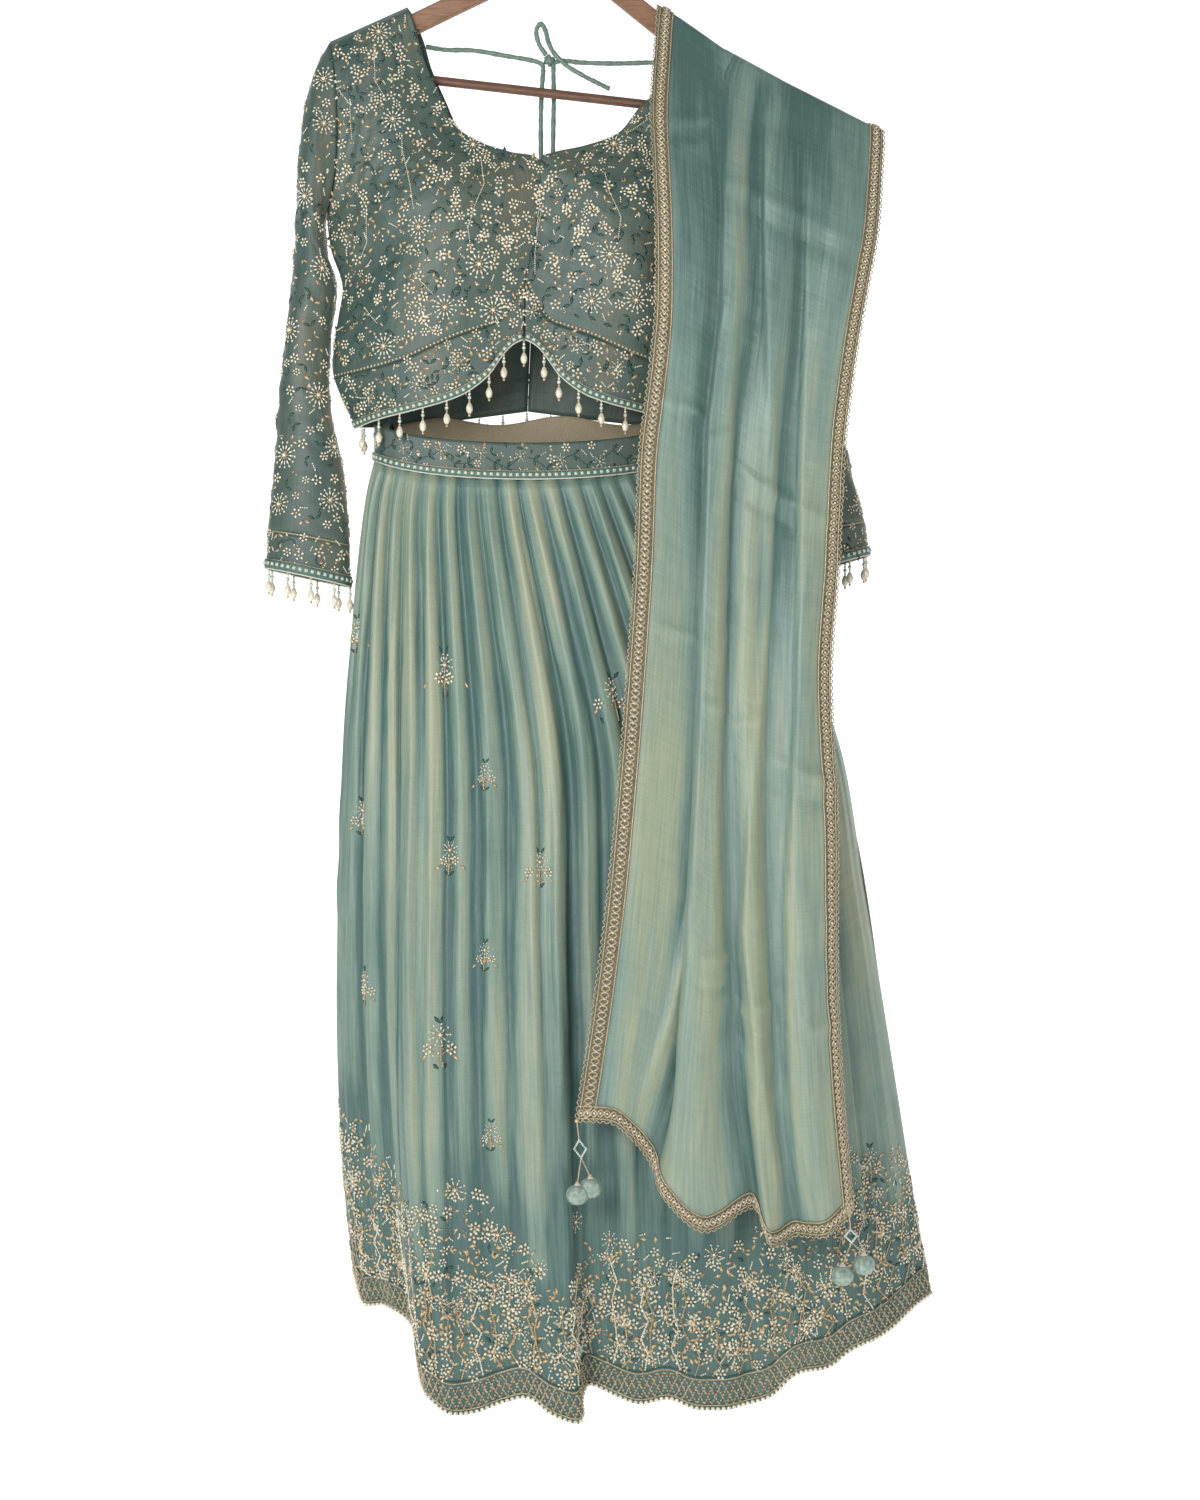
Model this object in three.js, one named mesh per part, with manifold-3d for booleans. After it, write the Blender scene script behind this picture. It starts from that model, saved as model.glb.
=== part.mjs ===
// Lehenga set on a wooden hanger: a long-sleeved choli, a pleated skirt and a dupatta over one shoulder.
// Millimetres, +Z up, +X to the right as seen from the front, -Y towards the viewer.
// The origin is where the hook of the hanger rests on its rod.
import * as THREE from 'three';
import { mergeVertices } from 'three/addons/utils/BufferGeometryUtils.js';
import Module from 'manifold-3d';

const wasm = await Module();
wasm.setup();

// Driving sizes
const SEAM = 0.3; // gap at a seam
const CLOTH = 1.2; // lined silk of the choli and the skirt
const THIN = 1.1; // single silk of the dupatta
const ROLL = THREE.MathUtils.degToRad(6.5); // the hanger hangs with its right arm low

const HANGER = {
  thick: 10, bevel: 2, slope: 0.635, underside: -104.5, tall: 24.5, reach: 226, barTop: -241.3, barTall: 10,
  hookRadius: 20, wire: 2, shankTop: -50,
};

const CHOLI = { plumbX: -38, hemX: -54, trimShare: 0.86, trimThick: 2 };
const WAIST = { tall: 38, frontTop: -623, sideTop: -598, backTop: -590, trimTall: 8, gap: 1.1, columns: 20 };
const SKIRT = { frontPleats: 20, backPleats: 16, roundness: 2.6, spread: 0.8 };
const DROP = { pitch: 25, stem: 0.9, pearl: 3.9, top: 1.6, shoulder: 15, belly: 22.5, tip: 29 };
const LOOP = { wide: 6.8, ribbon: 7, skin: 1.2, bottomZ: -632 };
const DORI = { radius: 2.5, sides: 8, knot: 7 };
const BALL = { radius: 11.5, cord: 1.3 };

// Left front of the choli, a row for each level from the shoulder seam down to the seam under the bust.
// "inner" is on the neckline, then the centre front; "outer" is on the armhole, then the side seam.
// "inTilt" and "outTilt" say how much of the hanger's roll the right half takes there.
const FRONT_LEVELS = [
  { inner: [-180, -0.3, -153], outer: [-263, -0.3, -190], bulge: 0, side: 1, inTilt: 1, outTilt: 1 },
  { inner: [-177, -10, -160], outer: [-261, -9.4, -200], bulge: 0, side: 1, inTilt: 1, outTilt: 1 },
  { inner: [-169, -12, -185], outer: [-257, -15.2, -222], bulge: 3, side: 1, inTilt: 0.9, outTilt: 1 },
  { inner: [-161, -14, -213], outer: [-254, -19.2, -255], bulge: 6, side: 1, inTilt: 0.7, outTilt: 0.9 },
  { inner: [-144, -18, -251], outer: [-253, -19.6, -300], bulge: 11, side: 1, inTilt: 0.45, outTilt: 0.8 },
  { inner: [-128, -21, -284], outer: [-258, -13.3, -349], bulge: 17, side: 1.4, inTilt: 0.35, outTilt: 0.7 },
  { inner: [-101, -26, -303], outer: [-266, -0.3, -372], bulge: 21, side: 2, inTilt: 0.2, outTilt: 0.65 },
  { inner: [-70, -29, -314], outer: [-262, -0.3, -412], bulge: 24, side: 3, inTilt: 0.1, outTilt: 0.5 },
  { inner: [-38, -32, -324], outer: [-250, -0.3, -449], bulge: 27, side: 3, inTilt: 0, outTilt: 0.4 },
  { inner: [-38, -35, -367], outer: [-254, -0.3, -482], bulge: 26, side: 3, inTilt: 0, outTilt: 0.25 },
  { inner: [-43, -38, -409], outer: [-259, -0.3, -514], bulge: 20, side: 3, inTilt: 0, outTilt: 0.12 },
  { inner: [-53, -42, -452], outer: [-259, -0.3, -549], bulge: 12, side: 3, inTilt: 0, outTilt: 0 },
];

// Left back of the choli, on the same plan: a deep round neck, then the hooked centre back.
const BACK_LEVELS = [
  { inner: [-180, 0.3, -153], outer: [-263, 0.3, -190], bulge: 0, side: 1, inTilt: 1, outTilt: 1 },
  { inner: [-174, 10, -160], outer: [-261, 9.4, -200], bulge: 0, side: 1, inTilt: 1, outTilt: 1 },
  { inner: [-163, 13, -187], outer: [-257, 15.2, -222], bulge: -1, side: 1, inTilt: 0.9, outTilt: 1 },
  { inner: [-155, 17, -215], outer: [-254, 19.2, -255], bulge: -2, side: 1, inTilt: 0.75, outTilt: 0.9 },
  { inner: [-138, 22, -253], outer: [-253, 19.6, -300], bulge: -3, side: 1, inTilt: 0.6, outTilt: 0.8 },
  { inner: [-122, 26, -292], outer: [-258, 13.3, -349], bulge: -4, side: 1.4, inTilt: 0.45, outTilt: 0.7 },
  { inner: [-106, 29, -327], outer: [-266, 0.3, -372], bulge: -4, side: 2, inTilt: 0.3, outTilt: 0.65 },
  { inner: [-82, 32, -362], outer: [-262, 0.3, -412], bulge: -4, side: 3, inTilt: 0.15, outTilt: 0.5 },
  { inner: [-46, 34, -388], outer: [-250, 0.3, -449], bulge: -4, side: 3, inTilt: 0, outTilt: 0.4 },
  { inner: [-47, 35, -430], outer: [-254, 0.3, -482], bulge: -4, side: 3, inTilt: 0, outTilt: 0.25 },
  { inner: [-49, 36, -480], outer: [-259, 0.3, -514], bulge: -3, side: 3, inTilt: 0, outTilt: 0.12 },
  { inner: [-51, 40, -530], outer: [-259, 0.3, -549], bulge: -3, side: 4, inTilt: 0, outTilt: 0 },
  { inner: [-53, 42, -579], outer: [-236, 0.3, -602], bulge: -2, side: 5, inTilt: 0, outTilt: 0 },
];

// How far the seam under the bust and the front hem fall below a straight line, from centre to side.
const BAND_CURVE = [
  { across: 0, seam: 0, hem: 0 },
  { across: 0.05, seam: 16, hem: 0 },
  { across: 0.1, seam: 29, hem: 4 },
  { across: 0.15, seam: 32, hem: 12 },
  { across: 0.2, seam: 31, hem: 20 },
  { across: 0.35, seam: 27, hem: 27 },
  { across: 0.6, seam: 24, hem: 20 },
  { across: 0.8, seam: 14, hem: 10 },
  { across: 1, seam: 0, hem: 0 },
];
const HEM_ENDS = { inX: -55, inY: -48, inZ: -516, outX: -236, outY: -0.3, outZ: -602 };

// Sleeves, a row for each ring from below the armhole down to the cuff seam: their outer edge, their inner
// edge, how far they stand out to the front and back, and how far they bow.
const LEFT_RINGS = [
  { outX: -276, outZ: -212, inX: -268.5, inZ: -381, deep: 22, bow: 8 },
  { outX: -287, outZ: -245, inX: -268.5, inZ: -389, deep: 25, bow: 4 },
  { outX: -295, outZ: -300, inX: -268, inZ: -402, deep: 27, bow: 1 },
  { outX: -299, outZ: -360, inX: -264.5, inZ: -422, deep: 27, bow: 0 },
  { outX: -303, outZ: -430, inX: -256, inZ: -457, deep: 26, bow: 0 },
  { outX: -310, outZ: -500, inX: -263, inZ: -516, deep: 25, bow: 0 },
  { outX: -318, outZ: -572, inX: -262, inZ: -582, deep: 25, bow: 0 },
  { outX: -323, outZ: -643, inX: -248, inZ: -652, deep: 26, bow: 0 },
  { outX: -330, outZ: -712, inX: -242, inZ: -728, deep: 27, bow: 0 },
];
const RIGHT_RINGS = [
  { outX: 226, outZ: -268, inX: 177, inZ: -414, deep: 22, bow: -6 },
  { outX: 238, outZ: -300, inX: 180, inZ: -422, deep: 25, bow: -3 },
  { outX: 248, outZ: -352, inX: 183, inZ: -436, deep: 27, bow: -1 },
  { outX: 254, outZ: -410, inX: 186, inZ: -460, deep: 27, bow: 0 },
  { outX: 261, outZ: -470, inX: 190, inZ: -500, deep: 26, bow: 0 },
  { outX: 269, outZ: -530, inX: 194, inZ: -560, deep: 25, bow: 0 },
  { outX: 280, outZ: -585, inX: 201, inZ: -615, deep: 25, bow: 0 },
  { outX: 293, outZ: -642, inX: 210, inZ: -670, deep: 26, bow: 0 },
  { outX: 309, outZ: -703, inX: 219, inZ: -722, deep: 27, bow: 0 },
];

// Where the armhole's levels lie round a sleeve's first ring, from the shoulder to the armpit
const ARMHOLE = [
  { turn: 0, level: 0 },
  { turn: 0.15, level: 1 },
  { turn: 0.275, level: 2 },
  { turn: 0.41, level: 3 },
  { turn: 0.565, level: 4 },
  { turn: 0.77, level: 5 },
  { turn: 1, level: 6 },
];
const LEFT_CUFF_END = { outX: -331, outZ: -752, inX: -242, inZ: -772, deep: 28 };
const RIGHT_CUFF_END = { outX: 313, outZ: -738, inX: 223, inZ: -764, deep: 28 };

// Skirt, a row for each level: its two sides, how far its front and back stand out, and the height of its
// small pleats and of the large folds that they run into.
const SKIRT_LEVELS = [
  { down: 0, left: -216, right: 114, front: 38, back: 33, pleat: 1.2, fold: 0 },
  { down: 0.06, left: -227, right: 148, front: 46, back: 36, pleat: 4.2, fold: 0 },
  { down: 0.15, left: -235, right: 196, front: 56, back: 42, pleat: 4.6, fold: 2 },
  { down: 0.27, left: -245, right: 262, front: 68, back: 50, pleat: 4.2, fold: 5 },
  { down: 0.42, left: -251, right: 294, front: 84, back: 56, pleat: 3.6, fold: 8 },
  { down: 0.58, left: -256, right: 318, front: 100, back: 62, pleat: 3.4, fold: 10 },
  { down: 0.75, left: -255, right: 343, front: 115, back: 70, pleat: 3.2, fold: 12 },
  { down: 0.9, left: -248, right: 364, front: 126, back: 76, pleat: 3, fold: 14 },
  { down: 1, left: -238, right: 380, front: 130, back: 80, pleat: 2.6, fold: 15 },
];

// The front hem from the left side seam to the right one, a row for each turn of a fold or scallop.
const FRONT_HEM = [
  { across: 0, x: -238, y: 0, z: -1505 },
  { across: 0.04, x: -226, y: -15, z: -1536 },
  { across: 0.08, x: -203, y: -32, z: -1534 },
  { across: 0.12, x: -180, y: -52, z: -1541 },
  { across: 0.15, x: -166, y: -68, z: -1556 },
  { across: 0.175, x: -159, y: -104, z: -1590 },
  { across: 0.2, x: -150, y: -126, z: -1603 },
  { across: 0.25, x: -128, y: -138, z: -1618 },
  { across: 0.29, x: -103, y: -134, z: -1619 },
  { across: 0.33, x: -75, y: -128, z: -1611 },
  { across: 0.37, x: -48, y: -130, z: -1605 },
  { across: 0.41, x: -22, y: -138, z: -1620 },
  { across: 0.44, x: 0, y: -142, z: -1627 },
  { across: 0.46, x: 8, y: -136, z: -1624 },
  { across: 0.475, x: 7, y: -114, z: -1612 },
  { across: 0.49, x: 14, y: -99, z: -1600 },
  { across: 0.53, x: 42, y: -108, z: -1609 },
  { across: 0.57, x: 68, y: -112, z: -1616 },
  { across: 0.61, x: 95, y: -104, z: -1613 },
  { across: 0.65, x: 122, y: -106, z: -1622 },
  { across: 0.69, x: 150, y: -108, z: -1623 },
  { across: 0.73, x: 178, y: -98, z: -1620 },
  { across: 0.77, x: 205, y: -92, z: -1612 },
  { across: 0.81, x: 228, y: -86, z: -1593 },
  { across: 0.85, x: 262, y: -74, z: -1589 },
  { across: 0.89, x: 292, y: -62, z: -1572 },
  { across: 0.93, x: 325, y: -44, z: -1562 },
  { across: 0.965, x: 355, y: -24, z: -1541 },
  { across: 1, x: 380, y: 0, z: -1530 },
];

// Front fall of the dupatta, a row for each line that runs down it from the shoulder: where it starts on the
// shoulder line, its X at each level of FALL_LEVELS, its end at the hem and how far it stands forward.
const FRONT_LINES = [
  {
    topX: 88, topZ: -151.7, hemZ: -1321, forward: 0,
    x: [88, 88, 87, 85, 80, 84, 83, 67, 62, 52, 35, 20, 2],
  },
  {
    topX: 112, topZ: -164.7, hemZ: -1326, forward: 2,
    x: [112, 112, 111, 110, 108, 112, 109, 98, 94, 84, 68, 55, 43],
  },
  {
    topX: 166, topZ: -202.7, hemZ: -1366, forward: -6,
    x: [166, 166, 167, 168, 168, 167, 157, 148, 146, 138, 126, 110, 77],
  },
  {
    topX: 168, topZ: -203.7, hemZ: -1398, forward: 7,
    x: [168, 168, 162, 156, 153, 153, 142, 133, 131, 123, 114, 102, 90],
  },
  {
    topX: 180, topZ: -209.7, hemZ: -1431, forward: 14,
    x: [180, 180, 176, 172, 166, 167, 158, 148, 144, 140, 135, 128, 131],
  },
  {
    topX: 203, topZ: -221.7, hemZ: -1411, forward: 0,
    x: [203, 203, 202, 200, 194, 189, 174, 161, 158, 157, 160, 165, 181],
  },
  {
    topX: 226, topZ: -233.7, hemZ: -1447, forward: 12,
    x: [226, 226, 225, 223, 218, 211, 196, 184, 179, 177, 182, 186, 198],
  },
  {
    topX: 252, topZ: -246.7, hemZ: -1440, forward: 0,
    x: [252, 252, 252, 250, 244, 235, 219, 207, 201, 198, 203, 208, 225],
  },
  {
    topX: 286, topZ: -263.7, hemZ: -1438, forward: 12,
    x: [286, 286, 286, 284, 278, 264, 249, 240, 233, 233, 236, 242, 254],
  },
  {
    topX: 327, topZ: -284.7, hemZ: -1414, forward: 2,
    x: [327, 327, 327, 325, 318, 297, 281, 273, 264, 269, 268, 273, 283],
  },
];
const FALL_LEVELS = [
  { down: 0, left: -0.3, right: -0.3, relief: 0 },
  { down: 0.003, left: -10, right: -9, relief: 0 },
  { down: 0.013, left: -14, right: -13, relief: 0.1 },
  { down: 0.035, left: -21, right: -20, relief: 0.25 },
  { down: 0.1, left: -43, right: -40, relief: 0.5 },
  { down: 0.2, left: -64, right: -53, relief: 0.65 },
  { down: 0.3, left: -70, right: -60, relief: 0.7 },
  { down: 0.42, left: -78, right: -68, relief: 0.8 },
  { down: 0.52, left: -90, right: -80, relief: 0.9 },
  { down: 0.64, left: -106, right: -94, relief: 1 },
  { down: 0.8, left: -128, right: -108, relief: 1.3 },
  { down: 0.9, left: -137, right: -114, relief: 1.45 },
  { down: 1, left: -140, right: -117, relief: 1.5 },
];

// Back fall of the dupatta, hidden by the rest: a few broad folds and a level hem.
const BACK_FALL = {
  folds: 3, hemZ: -1150, relief: 5,
  levels: [
    { down: 0, out: 0.3, left: 88, right: 327 },
    { down: 0.0035, out: 10, left: 88, right: 326 },
    { down: 0.015, out: 14, left: 88, right: 325 },
    { down: 0.045, out: 21, left: 88, right: 318 },
    { down: 0.16, out: 48, left: 92, right: 292 },
    { down: 0.4, out: 58, left: 94, right: 270 },
    { down: 0.6, out: 76, left: 95, right: 270 },
    { down: 0.8, out: 92, left: 96, right: 272 },
    { down: 1, out: 100, left: 96, right: 272 },
  ],
};

// Cords of the back neck tie, in the order in which they run
const DORI_LEFT = [
  [-161.6, 15.2, -190], [-140, 20, -192], [-111, 22, -192], [-75, 22, -198], [-48, 21, -203],
  [-37.4, 20, -207.4], [-35.6, 19, -214], [-37, 18.5, -236], [-38, 18, -262], [-38, 18, -300],
  [-37.5, 18, -338]];
const DORI_RIGHT = [
  [117, 14.6, -211], [100, 16.5, -208], [80, 18.7, -206], [60, 21, -206], [35, 22, -206],
  [5, 22, -205], [-12, 21, -203.5], [-23.2, 20, -205.8], [-24.5, 19, -216], [-24, 18.5, -240],
  [-24.5, 18, -270], [-25, 18, -305], [-25, 18, -330]];
const DORI_BOW = [[-32.5, 20, -197.4], [-40, 19, -186], [-43, 19, -172], [-38, 19, -164], [-33, 18, -172],
  [-30, 15.5, -184], [-24, 13.5, -197], [-10, 13, -211], [10, 13, -223], [24, 13, -230],
  [36, 13, -236]];
const DORI_KNOT = [-29, 20, -203.5];

const COLOURS = {
  silk: { color: 0x5f8f8c, roughness: 0.45, metalness: 0.05 },
  lining: { color: 0xc9b99a, roughness: 0.8, metalness: 0 },
  studs: { color: 0x4a7370, roughness: 0.5, metalness: 0.1 },
  braid: { color: 0xa08a62, roughness: 0.4, metalness: 0.5 },
  pearl: { color: 0xe2dccb, roughness: 0.3, metalness: 0 },
  wood: { color: 0x876246, roughness: 0.55, metalness: 0 },
  steel: { color: 0xb9bbbd, roughness: 0.25, metalness: 1 },
};

const part = new THREE.Group();

function add(name, geometry, look, parent = part) {
  const mesh = new THREE.Mesh(geometry, new THREE.MeshStandardMaterial(COLOURS[look]));
  mesh.name = name;
  parent.add(mesh);
  return mesh;
}

// A table's columns at any place, as smooth curves through its rows.
function along(table, key, place) {
  const last = table.length - 1;
  let i = 0;
  while (i < last - 1 && place > table[i + 1][key]) i += 1;
  const before = table[Math.max(i - 1, 0)];
  const start = table[i];
  const end = table[i + 1];
  const after = table[Math.min(i + 2, last)];
  const span = end[key] - start[key];
  const t = THREE.MathUtils.clamp((place - start[key]) / span, 0, 1);
  const result = {};
  for (const name of Object.keys(start)) {
    const leave = (end[name] - before[name]) / (end[key] - before[key]) * span;
    const arrive = (after[name] - start[name]) / (after[key] - start[key]) * span;
    const t2 = t * t;
    const t3 = t2 * t;
    result[name] = (2 * t3 - 3 * t2 + 1) * start[name] + (t3 - 2 * t2 + t) * leave
      + (3 * t2 - 2 * t3) * end[name] + (t3 - t2) * arrive;
  }
  return result;
}

const steps = (count) => Array.from({ length: count + 1 }, (_, i) => i / count);

// Rows run down and columns run from left to right over the front, then from right to left over the back,
// so that a grid's normals point into the garment.
function makeGrid(downs, acrosses, pointAt) {
  return downs.map((down) => acrosses.map((across) => pointAt(down, across)));
}

function normalAt(grid, r, c, around) {
  const rows = grid.length;
  const cols = grid[0].length;
  const right = around ? grid[r][(c + 1) % cols] : grid[r][Math.min(c + 1, cols - 1)];
  const left = around ? grid[r][(c + cols - 1) % cols] : grid[r][Math.max(c - 1, 0)];
  const below = grid[Math.min(r + 1, rows - 1)][c];
  const above = grid[Math.max(r - 1, 0)][c];
  const down = new THREE.Vector3().subVectors(below, above);
  return new THREE.Vector3().subVectors(right, left).cross(down).normalize();
}

function moved(grid, distance, around = false) {
  return grid.map((row, r) => row.map((point, c) => (
    point.clone().addScaledVector(normalAt(grid, r, c, around), distance))));
}

const cut = (grid, top, bottom, left, right) => (
  grid.slice(top, bottom + 1).map((row) => row.slice(left, right + 1)));

function volumeOf(points, faces) {
  let total = 0;
  for (const [a, b, c] of faces) {
    total += points[a].dot(new THREE.Vector3().crossVectors(points[b], points[c]));
  }
  return total / 6;
}

function solidFrom(points, faces) {
  const turned = volumeOf(points, faces) < 0;
  const geometry = new THREE.BufferGeometry();
  geometry.setAttribute('position', new THREE.Float32BufferAttribute(points.flatMap((p) => p.toArray()), 3));
  geometry.setIndex(faces.flatMap(([a, b, c]) => (turned ? [a, c, b] : [a, b, c])));
  return geometry;
}

// A closed wall between two grids of the same size. "around" joins the last column to the first.
function wall(outer, inner, around = false) {
  const rows = outer.length;
  const cols = outer[0].length;
  const points = [...outer.flat(), ...inner.flat()];
  const half = rows * cols;
  const faces = [];
  const quad = (a, b, c, d) => faces.push([a, b, c], [a, c, d]);
  const spans = around ? cols : cols - 1;
  const at = (r, c) => r * cols + (c % cols);
  for (let r = 0; r < rows - 1; r += 1) {
    for (let c = 0; c < spans; c += 1) {
      quad(at(r, c), at(r + 1, c), at(r + 1, c + 1), at(r, c + 1));
      quad(half + at(r, c), half + at(r, c + 1), half + at(r + 1, c + 1), half + at(r + 1, c));
    }
  }
  for (let c = 0; c < spans; c += 1) {
    quad(at(0, c), at(0, c + 1), half + at(0, c + 1), half + at(0, c));
    const end = rows - 1;
    quad(at(end, c + 1), at(end, c), half + at(end, c), half + at(end, c + 1));
  }
  if (!around) {
    for (let r = 0; r < rows - 1; r += 1) {
      const end = cols - 1;
      quad(at(r + 1, 0), at(r, 0), half + at(r, 0), half + at(r + 1, 0));
      quad(at(r, end), at(r + 1, end), half + at(r + 1, end), half + at(r, end));
    }
  }
  return solidFrom(points, faces);
}

// Where an edge is a seam, "hold" keeps the moved point in the plane of that seam.
function heldMove(grid, distance, around, hold) {
  const result = moved(grid, distance, around);
  if (hold) result.forEach((row, r) => row.forEach((point, c) => hold(point, grid[r][c], r, c)));
  return result;
}

const panel = (grid, thick, { around = false, hold } = {}) => (
  wall(grid, heldMove(grid, thick, around, hold), around));

// What lies on a panel: the panel's own points moved out by a gap, then by a thickness.
function overlay(grid, [top, bottom, left, right], thick, { around = false, hold } = {}) {
  const low = cut(heldMove(grid, -SEAM, around, hold), top, bottom, left, right);
  const high = cut(heldMove(grid, -SEAM - thick, around, hold), top, bottom, left, right);
  for (const layer of [low, high]) {
    layer[0] = layer[0].map((point, c) => point.clone().lerp(layer[1][c], 0.04));
  }
  return wall(high, low, around);
}

const keepY = (point, original) => { point.y = original.y; };
const keepX = (point, original) => { point.x = original.x; };

function toManifold(geometry) {
  const bare = geometry.clone();
  for (const name of ['normal', 'uv']) bare.deleteAttribute(name);
  const merged = mergeVertices(bare, 1e-4);
  return new wasm.Manifold(new wasm.Mesh({
    numProp: 3,
    vertProperties: new Float32Array(merged.attributes.position.array),
    triVerts: new Uint32Array(merged.index.array),
  }));
}

function joined(geometries) {
  const mesh = geometries.map(toManifold).reduce((whole, next) => whole.add(next)).getMesh();
  const geometry = new THREE.BufferGeometry();
  geometry.setAttribute('position', new THREE.Float32BufferAttribute(mesh.vertProperties, 3));
  geometry.setIndex(Array.from(mesh.triVerts));
  return geometry;
}

function tube(points, radius, sides, count) {
  const path = new THREE.CatmullRomCurve3(points.map((p) => new THREE.Vector3(...p)));
  const section = new THREE.Shape();
  section.absarc(0, 0, radius, 0, Math.PI * 2);
  return new THREE.ExtrudeGeometry(section, { extrudePath: path, steps: count, curveSegments: sides / 2 });
}

// The wooden hanger and its wire hook, made level and then rolled as it hangs
function addHanger() {
  const rolled = new THREE.Group();
  rolled.rotation.y = ROLL;
  part.add(rolled);
  const { thick, bevel, slope, underside, tall, reach } = HANGER;
  const { barTop, barTall, hookRadius, wire, shankTop } = HANGER;
  const start = SEAM / 2 + bevel;
  const low = (x) => underside - slope * x;
  for (const [name, side] of [['hanger_arm_left', -1], ['hanger_arm_right', 1]]) {
    const tip = reach - 12;
    const outline = new THREE.Shape();
    outline.moveTo(side * start, low(start) + bevel);
    outline.lineTo(side * tip, low(tip) + bevel);
    outline.quadraticCurveTo(side * reach, low(reach) + 4, side * (reach - 1), low(reach) + 14);
    const crown = tip - 2;
    outline.quadraticCurveTo(side * (reach - 3), low(reach) + tall, side * crown, low(crown) + tall - bevel);
    outline.lineTo(side * start, low(start) + tall - bevel);
    outline.closePath();
    const arm = new THREE.ExtrudeGeometry(outline, {
      depth: thick - 2 * bevel, bevelSize: bevel, bevelThickness: bevel, bevelSegments: 1, curveSegments: 4,
    });
    arm.rotateX(Math.PI / 2);
    arm.translate(0, thick / 2 - bevel, 0);
    add(name, arm, 'wood', rolled);
  }
  const barReach = (underside - barTop) / slope - 2;
  const bar = new THREE.CylinderGeometry(barTall / 2, barTall / 2, 2 * barReach, 12);
  bar.rotateZ(Math.PI / 2);
  bar.translate(0, 0, barTop - barTall / 2);
  add('hanger_bar', bar, 'wood', rolled);

  const centre = wire - hookRadius;
  const foot = low(start) + tall + 0.8;
  const route = [[0, 0, foot], [0, 0, (foot + shankTop) / 2], [1, 0, shankTop], [9, 0, shankTop + 8]];
  for (let turn = -40; turn <= 200; turn += 20) {
    const angle = THREE.MathUtils.degToRad(turn);
    route.push([hookRadius * Math.cos(angle), 0, centre + hookRadius * Math.sin(angle)]);
  }
  add('hanger_hook', tube(route, wire, 8, 24), 'steel', rolled);
}

// The same place on the other half of the choli: mirrored about the plumb line, and by "tilt" about the
// hanger's own rolled axis.
function mirrored(point, tilt, axisX) {
  const plain = new THREE.Vector3(2 * axisX - point.x, point.y, point.z);
  const ownX = point.x * Math.cos(ROLL) - point.z * Math.sin(ROLL);
  const ownZ = point.x * Math.sin(ROLL) + point.z * Math.cos(ROLL);
  const tipped = new THREE.Vector3(
    -ownX * Math.cos(ROLL) + ownZ * Math.sin(ROLL), point.y, ownX * Math.sin(ROLL) + ownZ * Math.cos(ROLL));
  return plain.lerp(tipped, tilt);
}

const withLevel = (table) => table.map((row, i) => ({ ...row, level: i }));
const withCorners = (table) => withLevel(table).map(({ inner, outer, ...row }) => ({
  ...row, inX: inner[0], inY: inner[1], inZ: inner[2], outX: outer[0], outY: outer[1], outZ: outer[2],
}));
const FRONT = withCorners(FRONT_LEVELS);
const BACK = withCorners(BACK_LEVELS);

function choliPoint(table, level, across, side) {
  const row = along(table, 'level', level);
  const last = table.length - 1;
  const inner = new THREE.Vector3(row.inX, row.inY, row.inZ);
  const outer = new THREE.Vector3(row.outX, row.outY, row.outZ);
  const point = inner.clone().lerp(outer, across);
  point.y = THREE.MathUtils.lerp(row.inY, row.outY, across ** row.side);
  point.y -= row.bulge * Math.sin(Math.PI * across) ** 1.2;
  if (table === FRONT && level > last - 3) {
    point.z -= along(BAND_CURVE, 'across', across).seam * ((level - last + 3) / 3) ** 1.5;
  }
  if (side < 0) return point;
  const tilt = THREE.MathUtils.lerp(row.inTilt, row.outTilt, across);
  const axis = THREE.MathUtils.lerp(CHOLI.plumbX, CHOLI.hemX, level / last);
  return mirrored(point, tilt, level > 7.5 ? THREE.MathUtils.lerp(row.inX, axis, across) : axis);
}

function bandPoint(down, across, side) {
  const top = choliPoint(FRONT, FRONT.length - 1, across, side);
  const { inX, inY, inZ, outX, outY, outZ } = HEM_ENDS;
  const hem = new THREE.Vector3(inX, inY, inZ).lerp(new THREE.Vector3(outX, outY, outZ), across);
  hem.y = THREE.MathUtils.lerp(inY, outY, across ** 5);
  hem.z -= along(BAND_CURVE, 'across', across).hem;
  if (side > 0) hem.x = 2 * CHOLI.hemX - hem.x;
  const point = top.lerp(hem, down);
  point.z -= 2 * SEAM * (1 - down);
  return point;
}

// Columns from the centre to the side, turned so that the grid's normals point inwards.
function inOrder(shares, side, front) {
  return (side < 0) === front ? [...shares].reverse() : shares;
}

// A small gap either side of the centre seam.
function parted(point, side, middle) {
  if (Math.abs(middle) < 1e-9) point.x += side * SEAM / 2;
  return point;
}

const FRONT_SHARES = [0, 0.05, 0.1, 0.15, 0.2, 0.28, 0.36, 0.47, 0.58, 0.69, 0.8, 0.9, 1];
const BACK_SHARES = [0, 0.12, 0.26, 0.4, 0.55, 0.7, 0.82, 0.92, 1];
const hemLines = {};

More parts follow.
